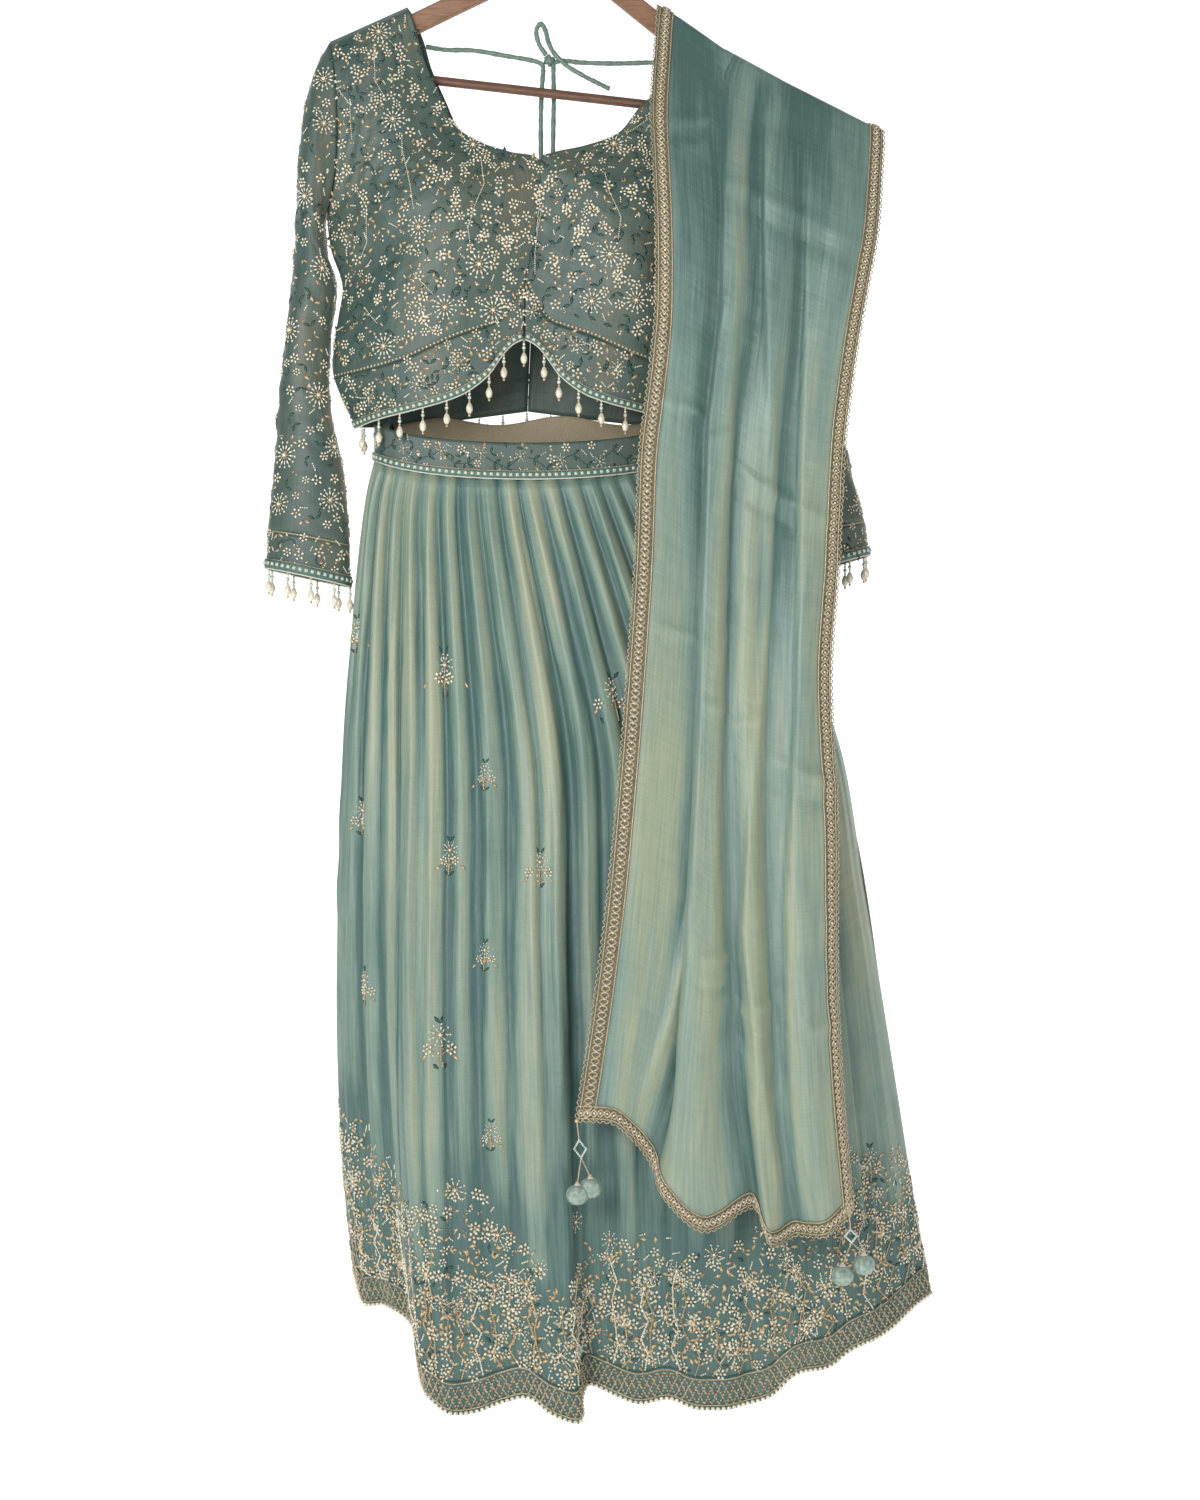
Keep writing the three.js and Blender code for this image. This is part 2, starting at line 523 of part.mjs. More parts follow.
function addCholi() {
  for (const [word, side] of [['left', -1], ['right', 1]]) {
    const shares = inOrder(FRONT_SHARES, side, true);
    const levels = FRONT.map((row) => row.level);
    const atEdges = (centre, seamSide, shoulder) => (point, original, r, c) => {
      if (c === centre) keepX(point, original);
      if (c === seamSide || (shoulder && r === 0)) keepY(point, original);
    };
    const frontCentre = side < 0 ? shares.length - 1 : 0;
    const frontSide = shares.length - 1 - frontCentre;
    const pointOn = (table) => (level, a) => parted(choliPoint(table, level, a, side), side, a);
    const front = makeGrid(levels, shares, pointOn(FRONT));
    add(`choli_front_${word}`, panel(front, CLOTH, { hold: atEdges(frontCentre, frontSide, true) }), 'silk');

    const bandDowns = [0, 0.5, CHOLI.trimShare, 1];
    const band = makeGrid(bandDowns, shares, (down, a) => parted(bandPoint(down, a, side), side, a));
    const hold = atEdges(frontCentre, frontSide, false);
    add(`choli_band_${word}`, panel(band, CLOTH, { hold }), 'silk');
    const trim = overlay(band, [2, 3, 0, shares.length - 1], CHOLI.trimThick, { hold });
    add(`choli_hem_trim_${word}`, trim, 'studs');
    hemLines[`front_${word}`] = moved(band, -1)[3];

    const backShares = inOrder(BACK_SHARES, side, false);
    const backLevels = BACK.map((row) => row.level);
    const back = makeGrid(backLevels, backShares, pointOn(BACK));
    const backCentre = side < 0 ? 0 : backShares.length - 1;
    const backHold = atEdges(backCentre, backShares.length - 1 - backCentre, true);
    add(`choli_back_${word}`, panel(back, CLOTH, { hold: backHold }), 'silk');
    hemLines[`back_${word}`] = moved(back, -1)[back.length - 1];
  }
}

// One ring of a sleeve. "turn" starts at the left and goes over the front.
function ringPoint(row, turn, side) {
  const outer = new THREE.Vector3(row.outX, 0, row.outZ);
  const inner = new THREE.Vector3(row.inX, 0, row.inZ);
  const middle = outer.clone().add(inner).multiplyScalar(0.5);
  const angle = side < 0 ? turn : Math.PI + turn;
  const point = middle.addScaledVector(outer.clone().sub(inner).multiplyScalar(0.5), Math.cos(angle));
  point.y = -row.deep * Math.sin(turn);
  point.x += (row.bow ?? 0) * Math.sin(turn) ** 2;
  return point;
}

// The sleeve's first ring runs round the armhole, a seam's gap outside the choli's own edge.
function armholePoint(turn, side) {
  const fromTop = Math.acos(THREE.MathUtils.clamp(-side * Math.cos(turn), -1, 1)) / Math.PI;
  const { level } = along(ARMHOLE, 'turn', fromTop);
  const point = choliPoint(Math.sin(turn) > 0 ? FRONT : BACK, level, 1, side);
  point.x += side * 2.2 * SEAM;
  if (Math.abs(Math.sin(turn)) < 1e-6) point.y = 0;
  return point;
}

function addSleeve(word, side, rings, cuffEnd) {
  const sides = 14;
  const turns = steps(sides).slice(0, sides).map((share) => share * Math.PI * 2);
  const lower = rings.map((row, r) => turns.map((turn) => {
    const point = ringPoint(row, turn, side);
    const soft = Math.sin(Math.PI * (r + 1) / rings.length);
    point.y += 1.6 * soft * Math.sin(2 * turn + 1.9 * r);
    return point;
  }));
  const grid = [turns.map((turn) => armholePoint(turn, side)), ...lower];
  const hold = (point, original, r) => {
    if (r === 0) keepX(point, original);
  };
  add(`sleeve_${word}`, panel(grid, CLOTH, { around: true, hold }), 'silk');

  const seamRow = rings[rings.length - 1];
  const cuffRows = [0, 0.75, 1].map((share) => {
    const row = {};
    for (const key of ['outX', 'outZ', 'inX', 'inZ', 'deep']) {
      row[key] = THREE.MathUtils.lerp(seamRow[key], cuffEnd[key], share);
    }
    row.outZ -= SEAM * (1 - share);
    row.inZ -= SEAM * (1 - share);
    return row;
  });
  const cuff = cuffRows.map((row) => turns.map((turn) => ringPoint(row, turn, side)));
  add(`cuff_${word}`, panel(cuff, CLOTH, { around: true }), 'silk');
  add(`cuff_trim_${word}`, overlay(cuff, [1, 2, 0, sides - 1], CHOLI.trimThick, { around: true }), 'studs');
  const edge = moved(cuff, -0.3, true)[2];
  hemLines[`cuff_${word}`] = [...edge, edge[0]];
}

// Pearl drops on a narrow strip that hangs just under an edge
function addDrops(name, line, closed) {
  const lowered = (down) => line.map((p) => new THREE.Vector3(p.x, p.y, p.z - down));
  const strip = [lowered(0.8), lowered(3)];
  const ring = closed ? strip.map((row) => row.slice(0, -1)) : strip;
  const pieces = [wall(moved(ring, -1.2, closed), moved(ring, 1.2, closed), closed)];
  const path = new THREE.CurvePath();
  for (let i = 0; i < line.length - 1; i += 1) path.add(new THREE.LineCurve3(line[i], line[i + 1]));
  const length = path.getLength();
  const count = Math.round(length / DROP.pitch) - (closed ? 0 : 1);
  const { stem, pearl, top, shoulder, belly, tip } = DROP;
  const profile = [[0, -tip], [pearl, -belly], [stem, -shoulder], [stem, -top], [0, -top]];
  for (let i = 0; i < count; i += 1) {
    const place = path.getPointAt((i + 0.5) / count);
    const drop = new THREE.LatheGeometry(profile.map(([x, y]) => new THREE.Vector2(x, y)), 4);
    drop.rotateX(Math.PI / 2);
    drop.translate(place.x, place.y, place.z);
    pieces.push(drop);
  }
  add(name, joined(pieces), 'pearl');
}

// A level section of the skirt or waistband. "across" runs 0 to 1 over the front, or back again over the
// back.
function sectionPoint(row, across, front) {
  const middle = (row.left + row.right) / 2;
  const half = (row.right - row.left) / 2;
  const { spread, roundness } = SKIRT;
  const share = Math.sin((across * 2 - 1) * spread * Math.PI / 2) / Math.sin(spread * Math.PI / 2);
  const swell = (1 - Math.abs(share) ** roundness) ** (1 / roundness);
  if (front) return new THREE.Vector3(middle + half * share, -Math.max(row.front * swell, SEAM / 2), 0);
  return new THREE.Vector3(middle - half * share, Math.max(row.back * swell, SEAM / 2), 0);
}

const waistSag = (across) => (2 * across - 1) ** 2;
const frontBandTop = (across) => THREE.MathUtils.lerp(WAIST.frontTop, WAIST.sideTop, waistSag(across));
function backBandTop(across) {
  const sag = waistSag(across);
  const ripple = 5 * Math.sin(across * 19);
  return THREE.MathUtils.lerp(WAIST.backTop + ripple, WAIST.sideTop, sag);
}

// Outward direction of a section, for pleats and folds.
function outward(row, across, front) {
  const a = sectionPoint(row, Math.max(across - 0.01, 0), front);
  const b = sectionPoint(row, Math.min(across + 0.01, 1), front);
  return new THREE.Vector3(b.y - a.y, a.x - b.x, 0).normalize();
}

// Crest, slope, trough and slope of one knife pleat, by its four columns
const PLEAT = [1, 0.5, -1, -0.2];

function skirtPoint(down, column, columns, front) {
  const across = column / columns;
  const row = along(SKIRT_LEVELS, 'down', down);
  const point = sectionPoint(row, across, front);
  const top = (front ? frontBandTop(across) : backBandTop(across)) - WAIST.tall - WAIST.gap;
  const atSeam = column === 0 || column === columns;
  const out = outward(row, across, front);
  const hemRow = SKIRT_LEVELS[SKIRT_LEVELS.length - 1];
  const near = Math.sin(Math.PI * across);
  if (front) {
    const hem = along(FRONT_HEM, 'across', across);
    const plain = sectionPoint(hemRow, across, true);
    point.z = THREE.MathUtils.lerp(top, hem.z, down);
    const share = down ** 1.7;
    point.x += (hem.x - plain.x) * share;
    point.y += (hem.y - plain.y) * share;
  } else {
    const sideZ = THREE.MathUtils.lerp(FRONT_HEM[FRONT_HEM.length - 1].z, FRONT_HEM[0].z, across);
    const hemZ = sideZ - 42 * near + 5 * Math.cos(across * Math.PI * 28) * near;
    point.z = THREE.MathUtils.lerp(top, hemZ, down);
    point.addScaledVector(out, row.fold * Math.sin(across * Math.PI * 16 + 0.6) * near ** 0.5);
  }
  const calm = front ? 1 - 0.7 * down ** 3 : 1;
  const swing = front ? row.fold * 0.35 * Math.sin(across * Math.PI * 19 + 1) * (1 - down) : 0;
  const height = (row.pleat * PLEAT[column % 4] + swing) * calm * Math.min(1, near * 5);
  if (atSeam) point.y = (front ? -1 : 1) * SEAM / 2;
  else point.addScaledVector(out, height);
  return point;
}

// Side seams stay in their plane.
const seamHold = (lastColumn) => (point, original, r, c) => {
  if (c === 0 || c === lastColumn) keepY(point, original);
};

function addSkirt() {
  const frontColumns = SKIRT.frontPleats * 4;
  const frontDowns = [0, 0.05, 0.15, 0.32, 0.52, 0.72, 0.88, 1];
  const front = makeGrid(frontDowns, steps(frontColumns), (down, a) => (
    skirtPoint(down, Math.round(a * frontColumns), frontColumns, true)));
  add('skirt_front', panel(front, CLOTH, { hold: seamHold(frontColumns) }), 'silk');
  const backColumns = SKIRT.backPleats * 4;
  const backDowns = [0, 0.06, 0.2, 0.42, 0.66, 0.85, 1];
  const back = makeGrid(backDowns, steps(backColumns), (down, a) => (
    skirtPoint(down, Math.round(a * backColumns), backColumns, false)));
  add('skirt_back', panel(back, CLOTH, { hold: seamHold(backColumns) }), 'silk');
}

function bandGrid(front) {
  const row = SKIRT_LEVELS[0];
  const top = front ? frontBandTop : backBandTop;
  const trim = 1 - WAIST.trimTall / WAIST.tall;
  return makeGrid([0, trim, 1], steps(WAIST.columns), (down, a) => {
    const point = sectionPoint(row, a, front);
    point.z = top(a) - WAIST.tall * down;
    return point;
  });
}

function addWaistband() {
  const front = bandGrid(true);
  const back = bandGrid(false);
  const hold = seamHold(WAIST.columns);
  add('waistband_front', panel(front, CLOTH * 1.5, { hold }), 'silk');
  add('waistband_back', panel(back, CLOTH * 1.5, { hold }), 'silk');
  add('waistband_trim_front', overlay(front, [1, 2, 0, WAIST.columns], 1.8, { hold }), 'studs');
  add('waistband_trim_back', overlay(back, [1, 2, 0, WAIST.columns], 1.8, { hold }), 'studs');
  const inside = moved(back, CLOTH * 1.5 + SEAM);
  add('waistband_lining', panel(cut(inside, 0, 2, 2, WAIST.columns - 2), 1), 'lining');
}

// Ribbon loops that carry the skirt: over the arm of the hanger, down to the inside of the waistband
function addLoop(name, x, topZ) {
  const { wide, ribbon, skin, bottomZ } = LOOP;
  const flareZ = topZ - 110;
  const outline = new THREE.Shape();
  outline.moveTo(-2, bottomZ);
  outline.lineTo(2, bottomZ);
  outline.lineTo(wide, flareZ);
  outline.lineTo(wide, topZ - 5);
  outline.lineTo(wide - 4, topZ);
  outline.lineTo(4 - wide, topZ);
  outline.lineTo(-wide, topZ - 5);
  outline.lineTo(-wide, flareZ);
  outline.closePath();
  const hole = new THREE.Path();
  hole.moveTo(0, bottomZ + 30);
  hole.lineTo(wide - skin, flareZ - 1);
  hole.lineTo(wide - skin, topZ - 5.5);
  hole.lineTo(wide - 4.5, topZ - skin);
  hole.lineTo(4.5 - wide, topZ - skin);
  hole.lineTo(skin - wide, topZ - 5.5);
  hole.lineTo(skin - wide, flareZ - 1);
  hole.closePath();
  outline.holes.push(hole);
  const band = new THREE.ExtrudeGeometry(outline, { depth: ribbon, bevelEnabled: false });
  band.rotateX(Math.PI / 2);
  band.rotateZ(Math.PI / 2);
  band.translate(x - ribbon / 2, 0, 0);
  add(name, band, 'silk');
}

// Front fall of the dupatta
const FALL = withLevel(FALL_LEVELS);
const fallTable = FRONT_LINES.map((line, i) => ({ ...line, line: i }));

function fallPoint(down, place) {
  const shape = along(FALL, 'down', down);
  const columns = fallTable.map((line) => {
    const curve = FALL.map((row, i) => ({ down: row.down, x: line.x[i] }));
    return { ...line, x: along(curve, 'down', down).x };
  });
  const at = along(columns, 'line', place);
  const share = place / (FRONT_LINES.length - 1);
  const base = THREE.MathUtils.lerp(shape.left, shape.right, share);
  const z = THREE.MathUtils.lerp(at.topZ, at.hemZ, down);
  return new THREE.Vector3(at.x, Math.min(base - at.forward * shape.relief, -0.3), z);
}

const FALL_DOWNS = [0, 0.003, 0.013, 0.035, 0.1, 0.15, 0.2, 0.25, 0.3, 0.36, 0.42, 0.52, 0.64, 0.72, 0.8,
  0.88, 0.94, 0.985, 1];
const FALL_PLACES = [0, 0.35, 0.7, 1, 1.5, 1.8, 2, 2.33, 2.66, 3, 3.33, 3.66, 4, 4.33, 4.66, 5, 5.33, 5.66,
  6, 6.33, 6.66, 7, 7.5, 8, 8.55, 9];

function backFallPoint(down, across) {
  const row = along(BACK_FALL.levels, 'down', down);
  const first = FRONT_LINES[0];
  const last = FRONT_LINES[FRONT_LINES.length - 1];
  const place = (1 - across) * (FRONT_LINES.length - 1);
  const topZ = along(fallTable.map(({ line, topZ: z }) => ({ line, z })), 'line', place).z;
  const topX = along(fallTable.map(({ line, topX: x }) => ({ line, x })), 'line', place).x;
  const topShare = (topX - first.topX) / (last.topX - first.topX);
  const x = THREE.MathUtils.lerp(row.left, row.right, topShare);
  const fold = BACK_FALL.relief * Math.min(1, down * 3) * Math.sin(across * Math.PI * 2 * BACK_FALL.folds);
  return new THREE.Vector3(x, row.out + fold, THREE.MathUtils.lerp(topZ, BACK_FALL.hemZ, down));
}

function addDupatta() {
  const front = makeGrid(FALL_DOWNS, FALL_PLACES, fallPoint);
  const bottom = FALL_DOWNS.length - 1;
  const right = FALL_PLACES.length - 1;
  const hold = (point, original, r) => {
    if (r === 0) keepY(point, original);
  };
  add('dupatta_front', panel(front, THIN, { hold }), 'silk');
  add('dupatta_lace_left', overlay(front, [0, bottom - 1, 0, 2], 1.2, { hold }), 'braid');
  add('dupatta_lace_right', overlay(front, [0, bottom - 1, right - 1, right], 1.2, { hold }), 'braid');
  add('dupatta_lace_hem', overlay(front, [bottom - 1, bottom, 0, right], 1.2), 'braid');

  const downs = BACK_FALL.levels.map((row) => row.down);
  downs.splice(downs.length - 1, 0, 0.982);
  const back = makeGrid(downs, steps(16), backFallPoint);
  add('dupatta_back', panel(back, THIN, { hold }), 'silk');
  add('dupatta_lace_back', overlay(back, [downs.length - 2, downs.length - 1, 0, 16], 1.2), 'braid');
}

// Two fabric balls on a beaded cord at a corner of the dupatta
function addTassel(name, root, balls) {
  const pieces = [];
  for (const [x, y, z] of balls) {
    const ball = new THREE.IcosahedronGeometry(BALL.radius, 1);
    ball.translate(x, y, z);
    pieces.push(ball);
    const middle = [(root[0] + x) / 2 + 2, (root[1] + y) / 2, (root[2] + z) / 2];
    const cord = tube([root, middle, [x, y, z + BALL.radius - 3]], BALL.cord, 4, 3);
    pieces.push(cord);
    const cap = new THREE.ConeGeometry(6, 9, 6);
    cap.rotateX(Math.PI / 2);
    cap.translate(x, y, z + BALL.radius + 1);
    pieces.push(cap);
  }
  add(name, joined(pieces), 'silk');
}

function addDori() {
  add('dori_left', tube(DORI_LEFT, DORI.radius, DORI.sides, 18), 'silk');
  add('dori_right', tube(DORI_RIGHT, DORI.radius, DORI.sides, 18), 'silk');
  add('dori_bow', tube(DORI_BOW, DORI.radius, DORI.sides, 18), 'silk');
  const knot = new THREE.IcosahedronGeometry(DORI.knot, 1);
  knot.translate(...DORI_KNOT);
  add('dori_knot', knot, 'silk');
}

addHanger();
addCholi();
addSleeve('left', -1, LEFT_RINGS, LEFT_CUFF_END);
addSleeve('right', 1, RIGHT_RINGS, RIGHT_CUFF_END);
addDrops('drops_front', [...hemLines.front_left, ...hemLines.front_right.slice(1)], false);
addDrops('drops_back', [...hemLines.back_right, ...hemLines.back_left.slice(1)], false);
addDrops('drops_cuff_left', hemLines.cuff_left, true);
addDrops('drops_cuff_right', hemLines.cuff_right, true);
addSkirt();
addWaistband();
addLoop('loop_left', -203, -168.6);
addLoop('loop_right', 105, -165.6);
addDupatta();
addTassel('tassel_left', [2.3, -142.5, -1321.2], [[3, -152, -1394], [16, -148, -1388]]);
addTassel('tassel_right', [279, -124, -1420], [[272, -126, -1481], [294, -122, -1471]]);
addDori();

export default part;
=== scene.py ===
"""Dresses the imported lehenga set: shot silk, bead embroidery, braid, pearl drops, ties and a studio."""

import logging
import math
import random
from dataclasses import dataclass, field
from enum import Enum
from typing import Callable, Sequence

import bmesh
import bpy
import numpy as np
from mathutils import Matrix, Vector
from mathutils.bvhtree import BVHTree


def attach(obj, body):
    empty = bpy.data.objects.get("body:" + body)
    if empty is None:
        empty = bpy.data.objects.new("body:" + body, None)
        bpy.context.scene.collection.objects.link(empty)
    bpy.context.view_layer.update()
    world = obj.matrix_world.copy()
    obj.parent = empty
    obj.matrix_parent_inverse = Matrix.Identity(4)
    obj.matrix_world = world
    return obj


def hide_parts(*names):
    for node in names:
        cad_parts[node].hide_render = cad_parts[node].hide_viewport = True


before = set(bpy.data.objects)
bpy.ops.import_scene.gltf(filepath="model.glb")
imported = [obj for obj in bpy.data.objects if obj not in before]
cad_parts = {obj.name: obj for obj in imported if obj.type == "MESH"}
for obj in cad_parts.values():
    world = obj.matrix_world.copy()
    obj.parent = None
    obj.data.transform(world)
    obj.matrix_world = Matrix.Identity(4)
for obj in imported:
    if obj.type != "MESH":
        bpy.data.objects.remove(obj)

LOG = logging.getLogger("lehenga")
MM = 0.001
SEED = 20
WELD = 2e-5
NARROWEST = 10.2 * MM
Colour = tuple[float, float, float]
Pixel = tuple[float, float]
Relief = Callable[["Patch"], np.ndarray]
Graph = Sequence[tuple[float, float]]
UP = Vector((0, 0, 1))
RIGHT = Vector((1, 0, 0))
TOWARDS = Vector((0, -1, 0))


def add_object(data: bpy.types.ID) -> bpy.types.Object:
    """Adds an object to the scene, with its data's name."""
    made = bpy.data.objects.new(data.name, data)
    bpy.context.scene.collection.objects.link(made)
    return made


# Photograph

@dataclass(frozen=True)
class PhotoCamera:
    """The level camera that faced the hanger.

    Args:
        place: where it stands, in metres.
        centre: the pixel at the middle of the picture.
        per_pixel: the size of a pixel at the hanger, in metres.
        height: the picture's height in pixels.
    """

    place: tuple[float, float, float] = (0.0257, -2.5, -0.947)
    centre: Pixel = (600.0, 750.0)
    per_pixel: float = 1.07 * MM
    height: int = 1500

    def ray(self, pixel: Pixel) -> Vector:
        """Direction in which the camera sees a pixel."""
        x = (pixel[0] - self.centre[0]) * self.per_pixel
        z = -(pixel[1] - self.centre[1]) * self.per_pixel
        return Vector((x, -self.place[1], z)).normalized()

    def point(self, pixel: Pixel, depth: float) -> Vector:
        """The point at a depth along Y that a pixel shows."""
        way = self.ray(pixel)
        return Vector(self.place) + way * ((depth - self.place[1]) / way.y)

    def pixels(self, points: np.ndarray) -> tuple[np.ndarray, np.ndarray]:
        """The pixels, across and down, that show an array of points."""
        reach = (points[..., 1] - self.place[1]) / -self.place[1] * self.per_pixel
        across = (points[..., 0] - self.place[0]) / reach + self.centre[0]
        return across, self.centre[1] - (points[..., 2] - self.place[2]) / reach

    def make(self) -> None:
        """Adds the camera to the scene."""
        data = bpy.data.cameras.new("photo_camera")
        half = self.height / 2 * self.per_pixel
        data.lens = data.sensor_width / 2 * -self.place[1] / half
        data.clip_start, data.clip_end = 0.05, 30
        camera = add_object(data)
        camera.location = self.place
        camera.rotation_euler = (math.pi / 2, 0, 0)
        bpy.context.scene.camera = camera


PHOTO = PhotoCamera()


# Finishes

class Shader:
    """One node material, built node by node."""

    def __init__(self, name: str) -> None:
        self.material = bpy.data.materials.new(name)
        self.material.use_nodes = True
        self.tree = self.material.node_tree
        self.surface = self.tree.nodes["Principled BSDF"]

    def feed(self, socket: bpy.types.NodeSocket, value: object) -> None:
        """Links a value to a socket, or sets it there; a colour gets its alpha."""
        if isinstance(value, bpy.types.NodeSocket):
            self.tree.links.new(value, socket)
        elif socket.type == "RGBA":
            socket.default_value = (*value, 1)
        else:
            socket.default_value = value

    def node(self, kind: str, **values: object) -> bpy.types.Node:
        """Adds a node; a value is set on the input of that name, or else on the property."""
        made = self.tree.nodes.new(kind)
        for name, value in values.items():
            socket = made.inputs.get(name.replace("_", " "))
            if socket is None:
                setattr(made, name, value)
            else:
                self.feed(socket, value)
        return made

    def mix(self, share: object, first: object, second: object) -> bpy.types.NodeSocket:
        """A colour between two others."""
        made = self.node("ShaderNodeMix", data_type="RGBA")
        for socket, value in zip((made.inputs[0], made.inputs[6], made.inputs[7]), (share, first, second)):
            self.feed(socket, value)
        return made.outputs[2]

    def scale(self, source: object, low: float, high: float, start: float,
              end: float) -> bpy.types.NodeSocket:
        """A value from low..high taken to start..end."""
        return self.node("ShaderNodeMapRange", Value=source, From_Min=low, From_Max=high, To_Min=start,
                         To_Max=end).outputs[0]

    def sum(self, first: object, second: object, way: str = "ADD") -> bpy.types.NodeSocket:
        """Two values added, or joined in another way."""
        made = self.node("ShaderNodeMath", operation=way)
        for socket, value in zip(made.inputs, (first, second)):
            self.feed(socket, value)
        return made.outputs[0]

    def noise(self, where: object, scale: float, detail: float = 3, stretch: Sequence[float] = (1, 1, 1)):
        """A noise value, finer along the axes with a larger stretch."""
        mapped = self.node("ShaderNodeMapping", Vector=where, Scale=tuple(stretch))
        made = self.node("ShaderNodeTexNoise", Vector=mapped.outputs[0], Scale=scale, Detail=detail)
        return made.outputs[0]

    def bump(self, height: object, distance: float, strength: float = 1.0) -> None:
        """Gives the surface small relief."""
        made = self.node("ShaderNodeBump", Height=height, Distance=distance, Strength=strength)
        self.set(Normal=made.outputs[0])

    def set(self, **values: object) -> None:
        """Sets inputs of the surface."""
        for name, value in values.items():
            self.feed(self.surface.inputs[name.replace("_", " ")], value)


@dataclass(frozen=True)
class Silk:
    """Shot silk that turns from one colour to another with the "shot" attribute; on the skirt and the dupatta
    it also holds painted light and shade of the folds.

    Args:
        name: the material's name.
        cool: colour where the attribute is 0.
        middle: colour at a half.
        warm: colour at 1.
        roughness: of the surface.
        streak: how strong the fine streaks down the cloth are.
        mottle: how strong the broad patches are.
        pull: how deep the small cross wrinkles are, in millimetres.
        deep: colour that comes in where the streaks and patches pull the share under 0, or none.
    """

    name: str
    cool: Colour
    middle: Colour
    warm: Colour
    roughness: float = 0.46
    streak: float = 0.13
    mottle: float = 0.12
    pull: float = 2.0
    deep: Colour | None = None

    def make(self) -> bpy.types.Material:
        """Builds the material."""
        shader = Shader(f"{self.name}_look")
        cloth = shader.node("ShaderNodeUVMap", uv_map="cloth").outputs[0]
        # The attribute also holds painted shade in the fold hollows and painted light on the fold ridges of
        # the skirt and the dupatta.
        shot = shader.node("ShaderNodeAttribute", attribute_name="shot").outputs["Fac"]
        streaks = shader.noise(cloth, 1, 4, (420, 14, 1))
        slubs = shader.noise(cloth, 1, 2, (30, 900, 1))
        patches = shader.noise(cloth, 1, 3, (13, 7, 1))
        turn = shader.sum(shot, shader.scale(streaks, 0.3, 0.7, -self.streak, self.streak))
        turn = shader.sum(turn, shader.scale(patches, 0.3, 0.7, -self.mottle, self.mottle))
        low = shader.mix(shader.scale(turn, 0, 0.5, 0, 1), self.cool, self.middle)
        colour = shader.mix(shader.scale(turn, 0.5, 1, 0, 1), low, self.warm)
        if self.deep:
            colour = shader.mix(shader.scale(turn, -0.9, -0.1, 1, 0), colour, self.deep)
        threads = shader.sum(streaks, slubs, "MULTIPLY")
        colour = shader.mix(shader.scale(threads, 0.12, 0.4, 0.16, 0.0), colour, (0.02, 0.035, 0.03))
        fine = shader.noise(cloth, 1400, 1)
        weave = shader.sum(shader.sum(streaks, slubs), shader.sum(fine, 0.6, "MULTIPLY"))
        pulls = shader.noise(cloth, 1, 2, (16, 75, 1))
        relief = shader.sum(shader.sum(weave, 0.3, "MULTIPLY"), shader.sum(pulls, self.pull, "MULTIPLY"))
        shader.bump(relief, 1 * MM, 0.5)
        shader.set(
            Base_Color=colour,
            Roughness=shader.scale(slubs, 0.3, 0.7, self.roughness - 0.06, self.roughness + 0.08),
            Sheen_Weight=0.25,
            Sheen_Roughness=0.4,
            Sheen_Tint=(0.75, 0.85, 0.75),
            Specular_IOR_Level=0.55,
        )
        return shader.material


@dataclass(frozen=True)
class Grained:
    """A finish of one colour with a fine grain of another.

    Args:
        name: the material's name.
        colour: the main colour.
        other: the colour of the grain.
        roughness: of the surface.
        metallic: 1 for metal thread or wire.
        grain: the grain's scale, in grains a metre.
        relief: the grain's height in metres.
        stretch: how much finer the grain is along X, Y and Z.
        coat: weight of a clear coat.
    """

    name: str
    colour: Colour
    other: Colour
    roughness: float = 0.4
    metallic: float = 0.0
    grain: float = 500.0
    relief: float = 0.0001
    stretch: tuple[float, float, float] = (1, 1, 1)
    coat: float = 0.0

    def make(self) -> bpy.types.Material:
        """Builds the material."""
        shader = Shader(f"{self.name}_look")
        place = shader.node("ShaderNodeTexCoord").outputs["Object"]
        grain = shader.noise(place, self.grain, 3, self.stretch)
        colour = shader.mix(shader.scale(grain, 0.35, 0.65, 0, 1), self.colour, self.other)
        shader.bump(grain, self.relief, 0.5)
        shader.set(
            Base_Color=colour,
            Roughness=shader.scale(grain, 0.3, 0.7, self.roughness * 0.8, self.roughness * 1.2),
            Metallic=self.metallic,
            Coat_Weight=self.coat,
            Coat_Roughness=0.15,
        )
        return shader.material


